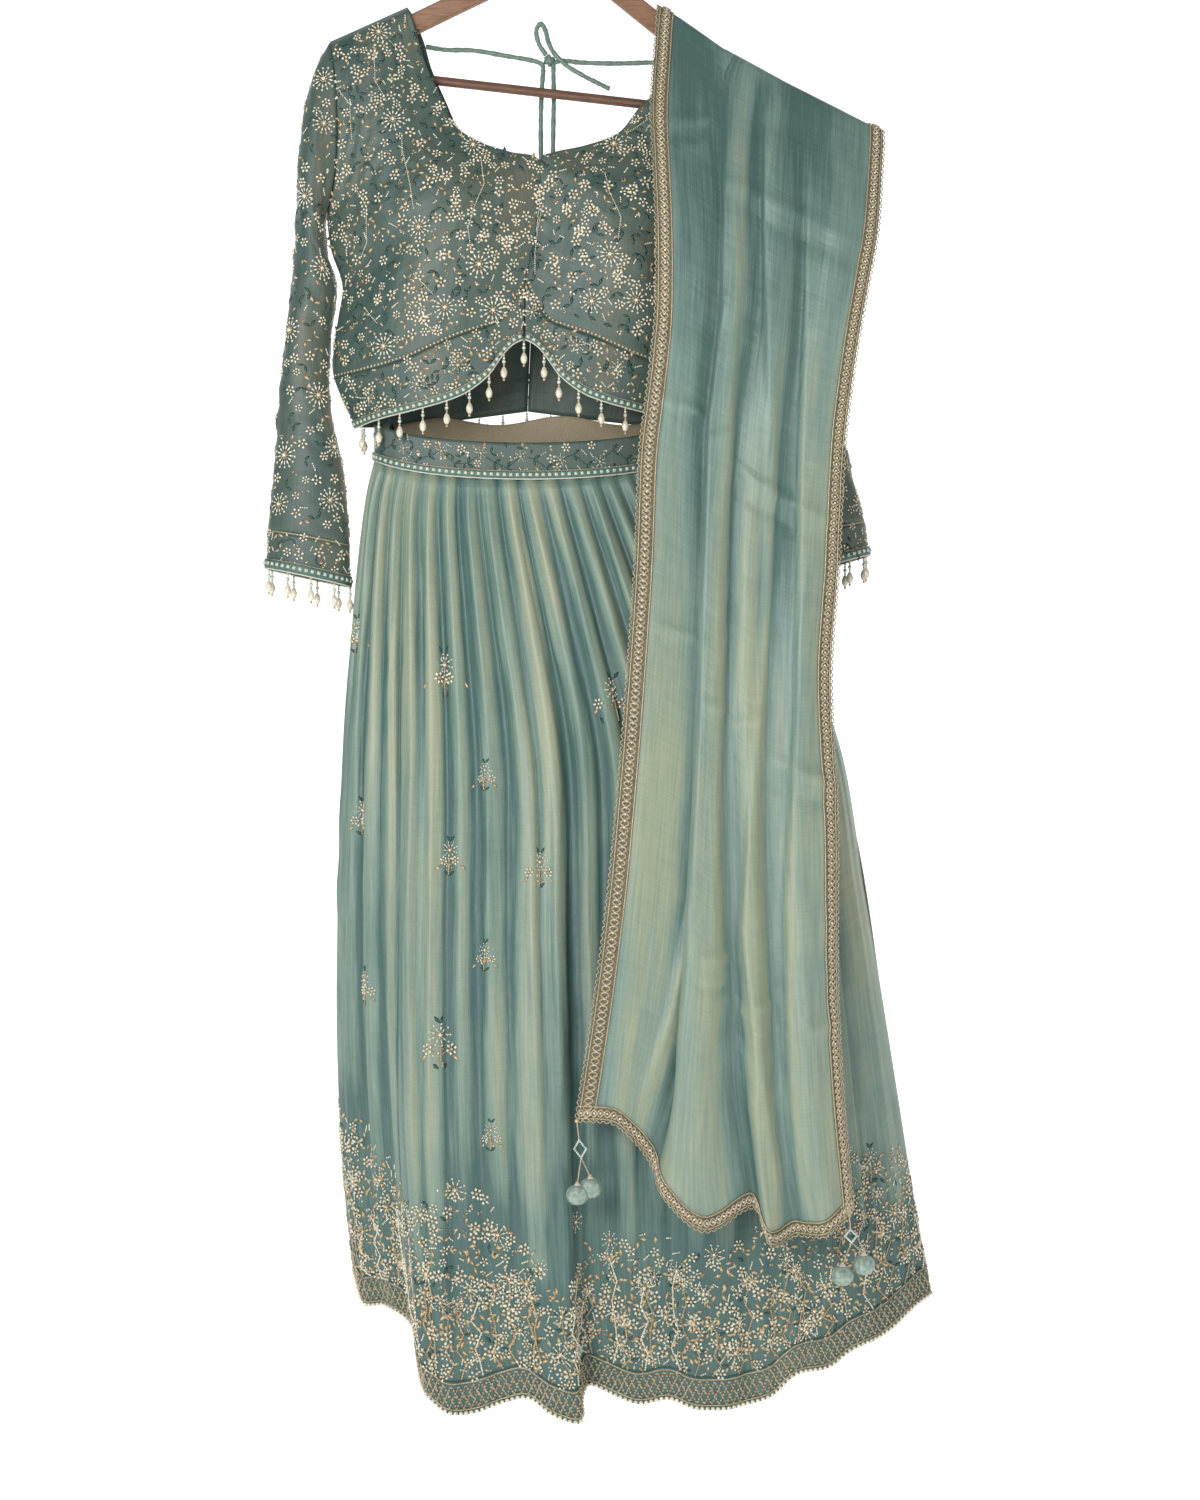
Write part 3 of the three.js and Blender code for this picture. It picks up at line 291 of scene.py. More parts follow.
class Finish(Enum):
    """Every finish, with the record's material slot that it belongs to."""

    SKIRT = (
        "skirt_silk", Silk("skirt_silk", (0.05, 0.115, 0.105), (0.175, 0.26, 0.21),
                           (0.31, 0.34, 0.235), deep=(0.15, 0.14, 0.095)))
    DUPATTA = (
        "dupatta_silk", Silk("dupatta_silk", (0.06, 0.125, 0.11), (0.165, 0.255, 0.22),
                             (0.3, 0.345, 0.235)))
    CHOLI = (
        "embroidered_silk", Silk("choli_silk", (0.028, 0.068, 0.062), (0.066, 0.098, 0.077),
                                 (0.15, 0.125, 0.082), 0.5))
    PLAIN = ("plain_silk", Silk("plain_silk", (0.045, 0.1, 0.09), (0.07, 0.135, 0.115), (0.1, 0.16, 0.12)))
    BALL = ("dupatta_silk", Grained("ball_silk", (0.17, 0.26, 0.22), (0.33, 0.4, 0.33), 0.4, grain=260))
    DORI = ("plain_silk", Grained("dori_silk", (0.085, 0.15, 0.12), (0.16, 0.23, 0.18), 0.5, grain=420))
    PIPING = ("stud_trim", Grained("piping", (0.035, 0.085, 0.075), (0.07, 0.14, 0.12), 0.5, grain=700))
    STUD = ("stud_trim", Grained("stud", (0.55, 0.55, 0.42), (0.35, 0.42, 0.34), 0.22, grain=900, coat=0.5))
    CORD = ("stud_trim", Grained("white_cord", (0.62, 0.6, 0.5), (0.4, 0.42, 0.35), 0.5, grain=1200))
    BEAD = (
        "embroidered_silk", Grained("glass_bead", (0.84, 0.79, 0.64), (0.55, 0.52, 0.4), 0.18, coat=0.6))
    GOLD = ("embroidered_silk", Grained("gold_thread", (0.66, 0.53, 0.33), (0.42, 0.31, 0.17), 0.32, 0.3))
    PEACH = ("embroidered_silk", Grained("peach_sequin", (0.55, 0.36, 0.2), (0.36, 0.24, 0.14), 0.3, 0.3))
    LEAF = ("embroidered_silk", Grained("leaf_thread", (0.02, 0.06, 0.052), (0.045, 0.1, 0.085), 0.45))
    BRAID = ("gold_braid", Grained("gold_braid", (0.56, 0.49, 0.345), (0.28, 0.22, 0.13), 0.35, 0.25, 900))
    BRAID_GROUND = ("gold_braid", Grained("braid_ground", (0.2, 0.17, 0.1), (0.08, 0.08, 0.05), 0.6))
    PEARL = ("pearl", Grained("pearl", (0.72, 0.68, 0.55), (0.56, 0.5, 0.38), 0.2, grain=220, coat=0.7))
    CRYSTAL = ("pearl", Grained("crystal", (0.6, 0.66, 0.6), (0.35, 0.45, 0.4), 0.06, grain=200, coat=0.8))
    LINING = ("lining", Grained("lining", (0.36, 0.3, 0.2), (0.28, 0.225, 0.14), 0.85, grain=900))
    WOOD = (
        "wood", Grained("wood", (0.24, 0.125, 0.065), (0.17, 0.082, 0.04),
                        0.5, grain=60, stretch=(1, 8, 9)))
    BAR = (
        "wood", Grained("bar_wood", (0.14, 0.07, 0.038), (0.1, 0.048, 0.026),
                        0.5, grain=60, stretch=(1, 8, 9)))
    STEEL = ("steel", Grained("steel", (0.6, 0.6, 0.61), (0.5, 0.5, 0.51), 0.25, 1.0, 300, 0.00002))

    def __init__(self, slot: str, look: Silk | Grained) -> None:
        self.slot = slot
        self.look = look

    @property
    def material(self) -> bpy.types.Material:
        """The finish's material, made on its first use."""
        return bpy.data.materials.get(f"{self.look.name}_look") or self.look.make()


# Reading the frame

class Face(Enum):
    """The side from which a sheet is seen."""

    FRONT = (0.0, -1.0, 0.0)
    BACK = (0.0, 1.0, 0.0)
    ROUND = (0.0, 0.0, 0.0)


def islands(mesh: bmesh.types.BMesh) -> list[list[bmesh.types.BMFace]]:
    """The faces of each connected stretch."""
    left = set(mesh.faces)
    found = []
    while left:
        stack = [left.pop()]
        group = []
        while stack:
            face = stack.pop()
            group.append(face)
            for edge in face.edges:
                for near in edge.link_faces:
                    if near in left:
                        left.remove(near)
                        stack.append(near)
        found.append(group)
    return found


def outward(group: Sequence[bmesh.types.BMFace], face: Face) -> float:
    """How far a stretch of faces looks out of the garment."""
    centre = sum((f.calc_center_median() for f in group), Vector()) / len(group)
    if face is Face.ROUND:
        return sum(f.calc_area() * f.normal.dot(f.calc_center_median() - centre) for f in group)
    return sum(f.calc_area() * f.normal.dot(Vector(face.value)) for f in group)


def outer_layer(node: str, rows: int, face: Face, seam: float | None) -> bmesh.types.BMesh:
    """The outer side of a CAD wall, without its rim and its inner side.

    The edges through the wall are as long as it is thick, with one at each point of the rim. The row that
    lies in a seam's plane is left out.
    """
    mesh = bmesh.new()
    mesh.from_mesh(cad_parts[node].data)
    bmesh.ops.remove_doubles(mesh, verts=mesh.verts, dist=WELD)
    columns = len(mesh.verts) // 2 // rows
    count = 2 * columns if face is Face.ROUND else 2 * (rows + columns) - 4
    if seam is not None:
        level = [v for v in mesh.verts if abs(v.co.y - seam) < WELD]
        bmesh.ops.delete(mesh, geom=level, context="VERTS")
        count -= columns
    lengths = sorted(edge.calc_length() for edge in mesh.edges)
    thick = lengths[count // 2]
    through = sorted(mesh.edges, key=lambda edge: abs(edge.calc_length() - thick))[:count]
    rim = {f for edge in through for f in edge.link_faces}
    bmesh.ops.delete(mesh, geom=list(rim), context="FACES")
    groups = sorted(islands(mesh), key=lambda group: outward(group, face))
    inner = {vert for group in groups[:-1] for f in group for vert in f.verts}
    bmesh.ops.delete(mesh, geom=list(inner), context="VERTS")
    return mesh


def seam_row(node: str, below: np.ndarray, seam: float) -> np.ndarray:
    """The top row of a wall in its seam's plane, above the row that comes next."""
    level = [v.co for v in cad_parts[node].data.vertices if abs(v.co.y - seam) < WELD]
    high = {(p.x, p.z) for p in level
            if not any(abs(q.x - p.x) < 1.2 * MM and q.z > p.z + WELD for q in level)}
    places, heights = zip(*sorted(high))
    top = below.copy()
    top[:, 1] = seam
    top[:, 2] = np.interp(below[:, 0], places, heights)
    return top


def boundary_loops(mesh: bmesh.types.BMesh) -> list[list[bmesh.types.BMVert]]:
    """The open edges of a mesh as rings of vertices."""
    left = {edge for edge in mesh.edges if edge.is_boundary}
    loops = []
    while left:
        edge = left.pop()
        start, current = edge.verts
        loop = [start]
        while current is not start:
            loop.append(current)
            edge = next(e for e in current.link_edges if e in left)
            left.remove(edge)
            current = edge.other_vert(current)
        loops.append(loop)
    return loops


def first_row(mesh: bmesh.types.BMesh, rows: int, columns: int, closed: bool) -> tuple[list, list]:
    """The top row of a sheet's points, and the points down its left side."""
    loops = boundary_loops(mesh)
    if closed:
        top = max(loops, key=lambda loop: sum(v.co.z for v in loop) / len(loop))
        start = min(range(columns), key=lambda i: top[i].co.x)
        ring = top[start:] + top[:start]
        if ring[1].co.y > ring[-1].co.y:
            ring = [ring[0], *reversed(ring[1:])]
        return ring, []
    loop = loops[0]
    corners = (0, columns - 1, columns + rows - 2, 2 * columns + rows - 3)
    signs = (1, 1, -1, -1)
    options = []
    for ring in (loop, loop[::-1]):
        for start in range(len(ring)):
            turned = ring[start:] + ring[:start]
            few = sum(len(turned[i].link_faces) for i in corners)
            height = sum(sign * turned[i].co.z for sign, i in zip(signs, corners))
            width = turned[corners[1]].co.x - turned[0].co.x
            options.append((few, height <= 0, width <= 0, -height, start, turned))
    best = min(options, key=lambda option: option[:5])[5]
    return best[:columns], [best[-r] for r in range(1, rows)]


def read_grid(node: str, rows: int, face: Face, seam: float | None = None) -> np.ndarray:
    """The outer points of a CAD wall as rows that run down it, each from left to right.

    Args:
        node: the CAD node, a wall between two grids of points.
        rows: how many rows its grids have.
        face: the side from which it is seen; ROUND is a closed tube.
        seam: the Y of the plane that its top edge is cut along, in metres.

    Returns:
        An array of rows, columns and 3; on a tube the last column repeats the first.
    """
    mesh = outer_layer(node, rows, face, seam)
    closed = face is Face.ROUND
    rows -= seam is not None
    columns = len(mesh.verts) // rows
    row, side = first_row(mesh, rows, columns, closed)
    taken = set(row)
    grid = [row]
    for below in range(1, rows):
        fresh = {e.other_vert(v) for v in grid[-1] for e in v.link_edges} - taken
        if closed:
            near = [e.other_vert(grid[-1][0]) for e in grid[-1][0].link_edges]
            current = min((v for v in near if v in fresh), key=lambda v: abs(v.co.y))
        else:
            current = side[below - 1]
        ring = [current]
        fresh.remove(current)
        while fresh:
            ahead = [v for v in (e.other_vert(current) for e in current.link_edges) if v in fresh]
            current = min(ahead, key=lambda v: v.co.y) if len(ring) == 1 else ahead[0]
            ring.append(current)
            fresh.remove(current)
        taken.update(ring)
        grid.append(ring)
    points = np.array([[v.co[:] for v in line] for line in grid])
    mesh.free()
    if seam is not None:
        points = np.concatenate([seam_row(node, points[0], seam)[None], points])
    if closed:
        points = np.concatenate([points, points[:, :1]], axis=1)
        outside = points - points[:, :-1].mean(axis=1, keepdims=True)
        if (normals_of(points, face) * outside).sum() < 0:
            points = points[:, ::-1]
    return points


# Smooth sheets

def blend_rows(points: np.ndarray, place: np.ndarray, closed: bool) -> np.ndarray:
    """Points at places along the first axis of an array, by a Catmull-Rom curve through its entries."""
    last = len(points) - 1
    before = points[-2:-1] if closed else 2 * points[:1] - points[1:2]
    after = points[1:2] if closed else 2 * points[-1:] - points[-2:-1]
    padded = np.concatenate([before, points, after])
    index = np.clip(np.floor(place).astype(int), 0, last - 1)
    t = (place - index).reshape(-1, *[1] * (points.ndim - 1))
    p0, p1, p2, p3 = (padded[index + k] for k in range(4))
    return 0.5 * (2 * p1 + (p2 - p0) * t + (2 * p0 - 5 * p1 + 4 * p2 - p3) * t**2
                  + (3 * p1 - p0 - 3 * p2 + p3) * t**3)


def even_places(points: np.ndarray, count: int) -> np.ndarray:
    """Places along the first axis of an array that are evenly spaced on the cloth."""
    gaps = np.linalg.norm(np.diff(points, axis=0), axis=-1).mean(axis=-1)
    length = np.concatenate([[0], np.cumsum(gaps)])
    return np.interp(np.linspace(0, length[-1], count), length, np.arange(len(length)))


@dataclass
class Patch:
    """The points of a smooth sheet, ready for relief.

    Args:
        points: rows, columns and 3, in metres.
        normals: the same, pointing outwards.
        across: each point's place across the cloth, in metres from the left.
        down: each point's place down the cloth, in metres from the top.
    """

    points: np.ndarray
    normals: np.ndarray
    across: np.ndarray
    down: np.ndarray

    @property
    def share(self) -> tuple[np.ndarray, np.ndarray]:
        """Places across and down as shares of the whole."""
        return self.across / self.across.max(), self.down / self.down.max()


def normals_of(points: np.ndarray, face: Face) -> np.ndarray:
    """Outward normals of a grid of points."""
    across = np.gradient(points, axis=1)
    if face is Face.ROUND:
        across[:, 0] = across[:, -1] = points[:, 1] - points[:, -2]
    normal = np.cross(np.gradient(points, axis=0), across)
    normal /= np.linalg.norm(normal, axis=-1, keepdims=True) + 1e-12
    return -normal if face is Face.BACK else normal


def make_patch(grid: np.ndarray, columns: int, rows: int, face: Face) -> Patch:
    """A smooth patch through a CAD grid, with its points evenly spaced."""
    closed = face is Face.ROUND
    down = blend_rows(grid, even_places(grid, rows + 1), False)
    turned = np.swapaxes(down, 0, 1)
    places = even_places(np.swapaxes(grid, 0, 1), columns + 1)
    points = np.swapaxes(blend_rows(turned, places, closed), 0, 1)
    steps_across = np.linalg.norm(np.diff(points, axis=1), axis=-1)
    steps_down = np.linalg.norm(np.diff(points, axis=0), axis=-1)
    across = np.pad(np.cumsum(steps_across.mean(axis=0)), (1, 0))
    lengths = np.pad(np.cumsum(steps_down.mean(axis=1)), (1, 0))
    grid_across, grid_down = np.meshgrid(across, lengths)
    return Patch(points, normals_of(points, face), grid_across, grid_down)


def build_grid(name: str, patch: Patch, shot: np.ndarray, closed: bool = False) -> bpy.types.Object:
    """A single layer of cloth with a UV map in metres and a "shot" attribute, which can also hold painted
    light and shade.
    """
    rows, columns = patch.points.shape[0] - 1, patch.points.shape[1] - 1
    mesh = bmesh.new()
    layer = mesh.loops.layers.uv.new("cloth")
    bmesh.ops.create_grid(mesh, x_segments=columns, y_segments=rows, size=1, calc_uvs=True)
    value = mesh.verts.layers.float.new("shot")
    spots = {}
    for vert in mesh.verts:
        spot = (round((1 - vert.co.y) / 2 * rows), round((vert.co.x + 1) / 2 * columns))
        spots[vert] = spot
        vert[value] = shot[spot]
    for vert, spot in spots.items():
        vert.co = patch.points[spot]
    mesh.normal_update()
    outside = 0.0
    for f in mesh.faces:
        outside += f.normal.dot(Vector(patch.normals[spots[f.verts[0]]]))
        f.smooth = True
        for loop in f.loops:
            spot = spots[loop.vert]
            loop[layer].uv = (patch.across[spot], patch.down[spot])
    if outside < 0:
        bmesh.ops.reverse_faces(mesh, faces=mesh.faces)
    if closed:
        bmesh.ops.remove_doubles(mesh, verts=mesh.verts, dist=WELD)
    data = bpy.data.meshes.new(name)
    mesh.to_mesh(data)
    mesh.free()
    return add_object(data)


def finish_piece(made: bpy.types.Object, finish: Finish, nodes: Sequence[str] = ()) -> bpy.types.Object:
    """Gives a piece its material, lets it ride on the body and replaces CAD nodes."""
    if not made.data.materials:
        made.data.materials.append(finish.material)
    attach(made, "root")
    if nodes:
        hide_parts(*nodes)
    return made


def declare_sheet(patch: Patch) -> None:
    """Works out the width, length and area of the cut that a sheet's patch follows, and does nothing more
    with them; a narrow trim's cut is at least NARROWEST wide.
    """
    across = np.linalg.norm(np.diff(patch.points, axis=1), axis=-1)
    down = np.linalg.norm(np.diff(patch.points, axis=0), axis=-1)
    width = max(float(across.sum(axis=1).max()), NARROWEST)
    length = max(float(down.sum(axis=0).max()), NARROWEST)
    sides = np.cross(np.diff(patch.points, axis=1)[:-1], np.diff(patch.points, axis=0)[:, :-1])
    area = min(float(np.linalg.norm(sides, axis=-1).sum()), width * length)


@dataclass
class Cloth:
    """One sheet of the garment.

    Args:
        node: the CAD wall that it follows and replaces.
        rows: how many rows of points that wall has.
        face: the side from which it is seen.
        size: how many quads it has across and down.
        finish: its silk.
        thick: its thickness in metres.
        reliefs: functions that give each point's height over the plain form.
        shot: a function that gives each point's share of the warm colour, with any painted light and shade of
            its folds.
        seam: the Y of the plane that its top edge is cut along, in metres.
    """

    node: str
    rows: int
    face: Face
    size: tuple[int, int]
    finish: Finish
    thick: float = 1.2 * MM
    reliefs: Sequence[Relief] = ()
    shot: Relief | None = None
    seam: float | None = None
    patch: Patch = field(init=False)
    made: bpy.types.Object = field(init=False)

    def build(self) -> "Cloth":
        """Makes the sheet's object."""
        grid = read_grid(self.node, self.rows, self.face, self.seam)
        self.patch = make_patch(grid, *self.size, self.face)
        for relief in self.reliefs:
            height = relief(self.patch)[..., None]
            self.patch.points = self.patch.points + self.patch.normals * height
        if self.reliefs:
            if self.face is Face.ROUND:
                self.patch.points[:, -1] = self.patch.points[:, 0]
            self.patch.normals = normals_of(self.patch.points, self.face)
        shot = self.shot(self.patch) if self.shot else np.full(self.patch.across.shape, 0.3)
        closed = self.face is Face.ROUND
        self.made = build_grid(f"{self.node}_cloth", self.patch, np.clip(shot, 0, 1), closed)
        solid = self.made.modifiers.new("wall", "SOLIDIFY")
        solid.thickness = self.thick
        solid.offset = -1
        finish_piece(self.made, self.finish, [self.node])
        LOG.info("%s: %d points", self.made.name, len(self.made.data.vertices))
        return self

    def declare(self, held: str, rests_on: Sequence[str] = (),
                pieces: Sequence[bpy.types.Object] = ()) -> None:
        declare_sheet(self.patch)

    def at(self, u: float, v: float) -> tuple[Vector, Vector]:
        """The point and normal at a share across and a share down."""
        rows, columns = self.patch.across.shape
        spot = min(max(v, 0), 1) * (rows - 1), min(max(u, 0), 1) * (columns - 1)
        r, c = min(int(spot[0]), rows - 2), min(int(spot[1]), columns - 2)
        fr, fc = spot[0] - r, spot[1] - c
        result = []
        for values in (self.patch.points, self.patch.normals):
            top = values[r, c] * (1 - fc) + values[r, c + 1] * fc
            low = values[r + 1, c] * (1 - fc) + values[r + 1, c + 1] * fc
            result.append(Vector(top * (1 - fr) + low * fr))
        return result[0], result[1].normalized()


# Relief

def smooth_noise(x: np.ndarray, y: np.ndarray, seed: int) -> np.ndarray:
    """Soft noise from -1 to 1 with a period of about 1 in x and in y."""
    rng = np.random.default_rng(SEED + seed)
    total = np.zeros(x.shape)
    for _ in range(5):
        angle = rng.uniform(0, 2 * math.pi)
        pace = rng.uniform(0.7, 1.4) * 2 * math.pi
        bend = rng.uniform(0.4, 1.1)
        phase = rng.uniform(0, 2 * math.pi)
        wave = x * math.cos(angle) + y * math.sin(angle)
        turn = x * math.sin(angle) - y * math.cos(angle)
        total += np.sin(pace * wave + bend * np.sin(2.3 * turn + phase) + phase)
    return total / 3.2


@dataclass(frozen=True)
class Crease:
    """A soft ridge or trough along a line of the photograph.

    Args:
        line: pixels along it.
        height: in metres; a trough is negative.
        half: half its width in metres.
    """

    line: tuple[Pixel, ...]
    height: float
    half: float

    def __call__(self, patch: Patch) -> np.ndarray:
        """Height at each point of a patch."""
        spot = np.stack(PHOTO.pixels(patch.points), axis=-1)
        near = np.full(spot.shape[:-1], np.inf)
        along = np.zeros(near.shape)
        ends = np.array(self.line, float)
        lengths = np.linalg.norm(np.diff(ends, axis=0), axis=-1)
        done = np.concatenate([[0], np.cumsum(lengths)]) / lengths.sum()
        for i, (start, end) in enumerate(zip(ends[:-1], ends[1:])):
            way = end - start
            t = np.clip(((spot - start) @ way) / (way @ way), 0, 1)
            gap = np.linalg.norm(spot - (start + t[..., None] * way), axis=-1)
            closer = gap < near
            near = np.where(closer, gap, near)
            along = np.where(closer, done[i] + t * (done[i + 1] - done[i]), along)
        fade = np.sin(math.pi * np.clip(along * 0.92 + 0.04, 0, 1)) ** 0.6
        return self.height * fade * np.exp(-((near * PHOTO.per_pixel / self.half) ** 2))


@dataclass(frozen=True)
class Lap:
    """A fold that lies over the cloth on its left, along a line of the photograph.

    Args:
        line: pixels along its edge, from the top down.
        height: of the step, in metres.
        fade: how far right of the edge it sinks back, in metres.
    """

    RUN_OUT = 60
    EDGE = 1.2 * MM

    line: tuple[Pixel, ...]
    height: float
    fade: float

    def __call__(self, patch: Patch) -> np.ndarray:
        """Height at each point of a patch."""
        seen_x, seen_y = PHOTO.pixels(patch.points)
        xs, ys = zip(*self.line)
        right = (seen_x - np.interp(seen_y, ys, xs)) * PHOTO.per_pixel
        ends = np.clip(np.minimum(seen_y - ys[0], ys[-1] - seen_y) / self.RUN_OUT, 0, 1)
        rise = 1 / (1 + np.exp(-np.clip(right / self.EDGE, -30, 30)))
        return self.height * ends * rise * np.exp(-np.clip(right, 0, None) / self.fade)


def edge_calm(patch: Patch, top: float = 20 * MM, side: float = 10 * MM) -> np.ndarray:
    """0 at the cloth's edges and 1 further in."""
    width, length = patch.across.max(), patch.down.max()
    inside = np.minimum(patch.across, width - patch.across) / side
    below = np.minimum(patch.down, length - patch.down) / top
    return np.clip(inside, 0, 1) * np.clip(below, 0, 1)


def puckers(height: float, size: float, seed: int) -> Relief:
    """Small pulls that dense sewing leaves in cloth."""
    def relief(patch: Patch) -> np.ndarray:
        x, y = patch.across / size, patch.down / size
        pulled = smooth_noise(x, y, seed) + 0.5 * np.abs(smooth_noise(2.1 * x, 1.7 * y, seed + 1)) - 0.2
        return height * pulled * edge_calm(patch)
    return relief


def long_folds(height: float, across: float, length: float, seed: int, start: float = 0.0) -> Relief:
    """Narrow folds that run down the cloth and wander a little."""
    def relief(patch: Patch) -> np.ndarray:
        x, y = patch.across / across, patch.down / length
        wander = 0.35 * smooth_noise(x * 0.2, y, seed + 2)
        ridge = smooth_noise(x + wander, 0.25 * y, seed)
        grown = np.clip((patch.share[1] - start) * 6 + 0.4, 0, 1)
        return height * ridge * grown * edge_calm(patch, 30 * MM, 20 * MM)
    return relief


def cross_pulls(height: float, size: float, seed: int) -> Relief:
    """Shallow creases that cross the cloth on a slant."""
    def relief(patch: Patch) -> np.ndarray:
        x, y = patch.across / size, patch.down / size
        bent = smooth_noise(0.35 * x + 0.2 * y, 1.3 * y + 0.4 * x, seed)
        where = np.clip(smooth_noise(0.4 * x, 0.25 * y, seed + 5), 0, 1)
        return height * bent * where * edge_calm(patch)
    return relief


def stand_out(patch: Patch, reach: float) -> np.ndarray:
    """How far each point stands out from the cloth on both sides of it, in metres."""
    width = max(3, 2 * round(reach / (patch.across.max() / patch.across.shape[1])) + 1)
    points = patch.points
    for _ in range(2):
        padded = np.pad(points, ((0, 0), (width // 2, width // 2), (0, 0)), mode="edge")
        total = np.cumsum(np.pad(padded, ((0, 0), (1, 0), (0, 0))), axis=1)
        points = (total[:, width:] - total[:, :-width]) / width
    return ((patch.points - points) * patch.normals).sum(axis=-1)


def shot_and_fold_shade(base: float, swing: float, size: float, seed: int, bands: Graph = (), fold: float = 0.0,
                  levels: Graph = (), hem: Graph = ()) -> Relief:
    """Warm colour on the folds that face right, in broad patches and in bands across the front, with painted
    light on the ridges that stand out and painted shade in the hollows.

    Args:
        base: the plain share of the warm colour.
        swing: how much the facing and the patches change it.
        size: the patches' size in metres.
        seed: of the patches.
        bands: (X in metres, share) pairs, from left to right.
        fold: how much warmer a ridge is than a hollow, as painted light on the ridge and painted shade in the
            hollow.
        levels: (Z in metres, share) pairs, from the lowest up.
        hem: (height over the hem in metres, share) pairs, from the hem up.
    """
    def shot(patch: Patch) -> np.ndarray:
        x, y = patch.across / size, patch.down / size
        value = base + swing * (0.5 * patch.normals[..., 0] + 0.45 * smooth_noise(x, 0.22 * y, seed))
        if fold:
            uneven = 0.75 + 0.35 * smooth_noise(patch.across / (70 * MM), patch.down / (400 * MM), seed + 3)
            # Painted shade and light: hollows between folds go to the dark cool colour, ridges to the light
            # warm one.
            value += fold * uneven * (np.tanh((stand_out(patch, 14 * MM) + 0.8 * MM) / (1.3 * MM)) - 0.35)
            value += 0.16 * smooth_noise(patch.across / (48 * MM), patch.down / 1.4, seed + 7)
        if bands:
            places, shares = zip(*bands)
            value += np.interp(patch.points[..., 0], places, shares)
        if levels:
            places, shares = zip(*levels)
            value += np.interp(patch.points[..., 2], places, shares)
        if hem:
            places, shares = zip(*hem)
            uneven = 25 * MM * smooth_noise(patch.across / (60 * MM), patch.down / (90 * MM), seed + 9)
            value += np.interp(patch.down[-1:] - patch.down + uneven, places, shares)
        return value
    return shot


# Beadwork

class Bead(Enum):
    """Small shapes that are made once and copied to each place, one unit in radius."""

    GRAIN = "grain"
    DOME = "dome"
    CUP = "cup"
    SQUARE = "square"
    DROP = "drop"

    def shape(self) -> tuple[np.ndarray, list[list[int]]]:
        """Points and faces of the shape, with Z away from the cloth."""
        mesh = bmesh.new()
        if self is Bead.GRAIN:
            bmesh.ops.create_uvsphere(mesh, u_segments=4, v_segments=2, radius=1)
        elif self is Bead.DOME:
            bmesh.ops.create_uvsphere(mesh, u_segments=7, v_segments=4, radius=1)
        elif self is Bead.CUP:
            bmesh.ops.create_cone(mesh, cap_ends=True, segments=7, radius1=1, radius2=0.5, depth=0.6)
        elif self is Bead.SQUARE:
            bmesh.ops.create_cone(mesh, cap_ends=True, segments=4, radius1=1.414, radius2=0.8, depth=1)
            bmesh.ops.rotate(mesh, verts=mesh.verts, matrix=Matrix.Rotation(math.pi / 4, 3, "Z"))
        else:
            bmesh.ops.create_uvsphere(mesh, u_segments=10, v_segments=8, radius=1)
            for vert in mesh.verts:
                narrow = 1 - 0.42 * max(vert.co.x, 0) ** 1.2
                vert.co.y *= narrow
                vert.co.z *= narrow
        mesh.verts.index_update()
        points = np.array([v.co[:] for v in mesh.verts])
        faces = [[v.index for v in f.verts] for f in mesh.faces]
        mesh.free()
        return points, faces


class Ground:
    """The cloths that beads are sewn to."""

    def __init__(self, cloths: Sequence[Cloth]) -> None:
        points: list[Vector] = []
        faces: list[list[int]] = []
        for cloth in cloths:
            data = cloth.made.data
            start = len(points)
            points.extend(v.co.copy() for v in data.vertices)
            faces.extend([start + i for i in p.vertices] for p in data.polygons)
        self.tree = BVHTree.FromPolygons(points, faces)

    def snap(self, point: Vector) -> tuple[Vector, Vector]:
        """The nearest place on the cloth, with its normal."""
        spot, normal, _, _ = self.tree.find_nearest(point)
        return spot, normal

    def seen(self, pixel: Pixel) -> Vector | None:
        """The place on the cloth that a pixel shows."""
        return self.tree.ray_cast(Vector(PHOTO.place), PHOTO.ray(pixel))[0]


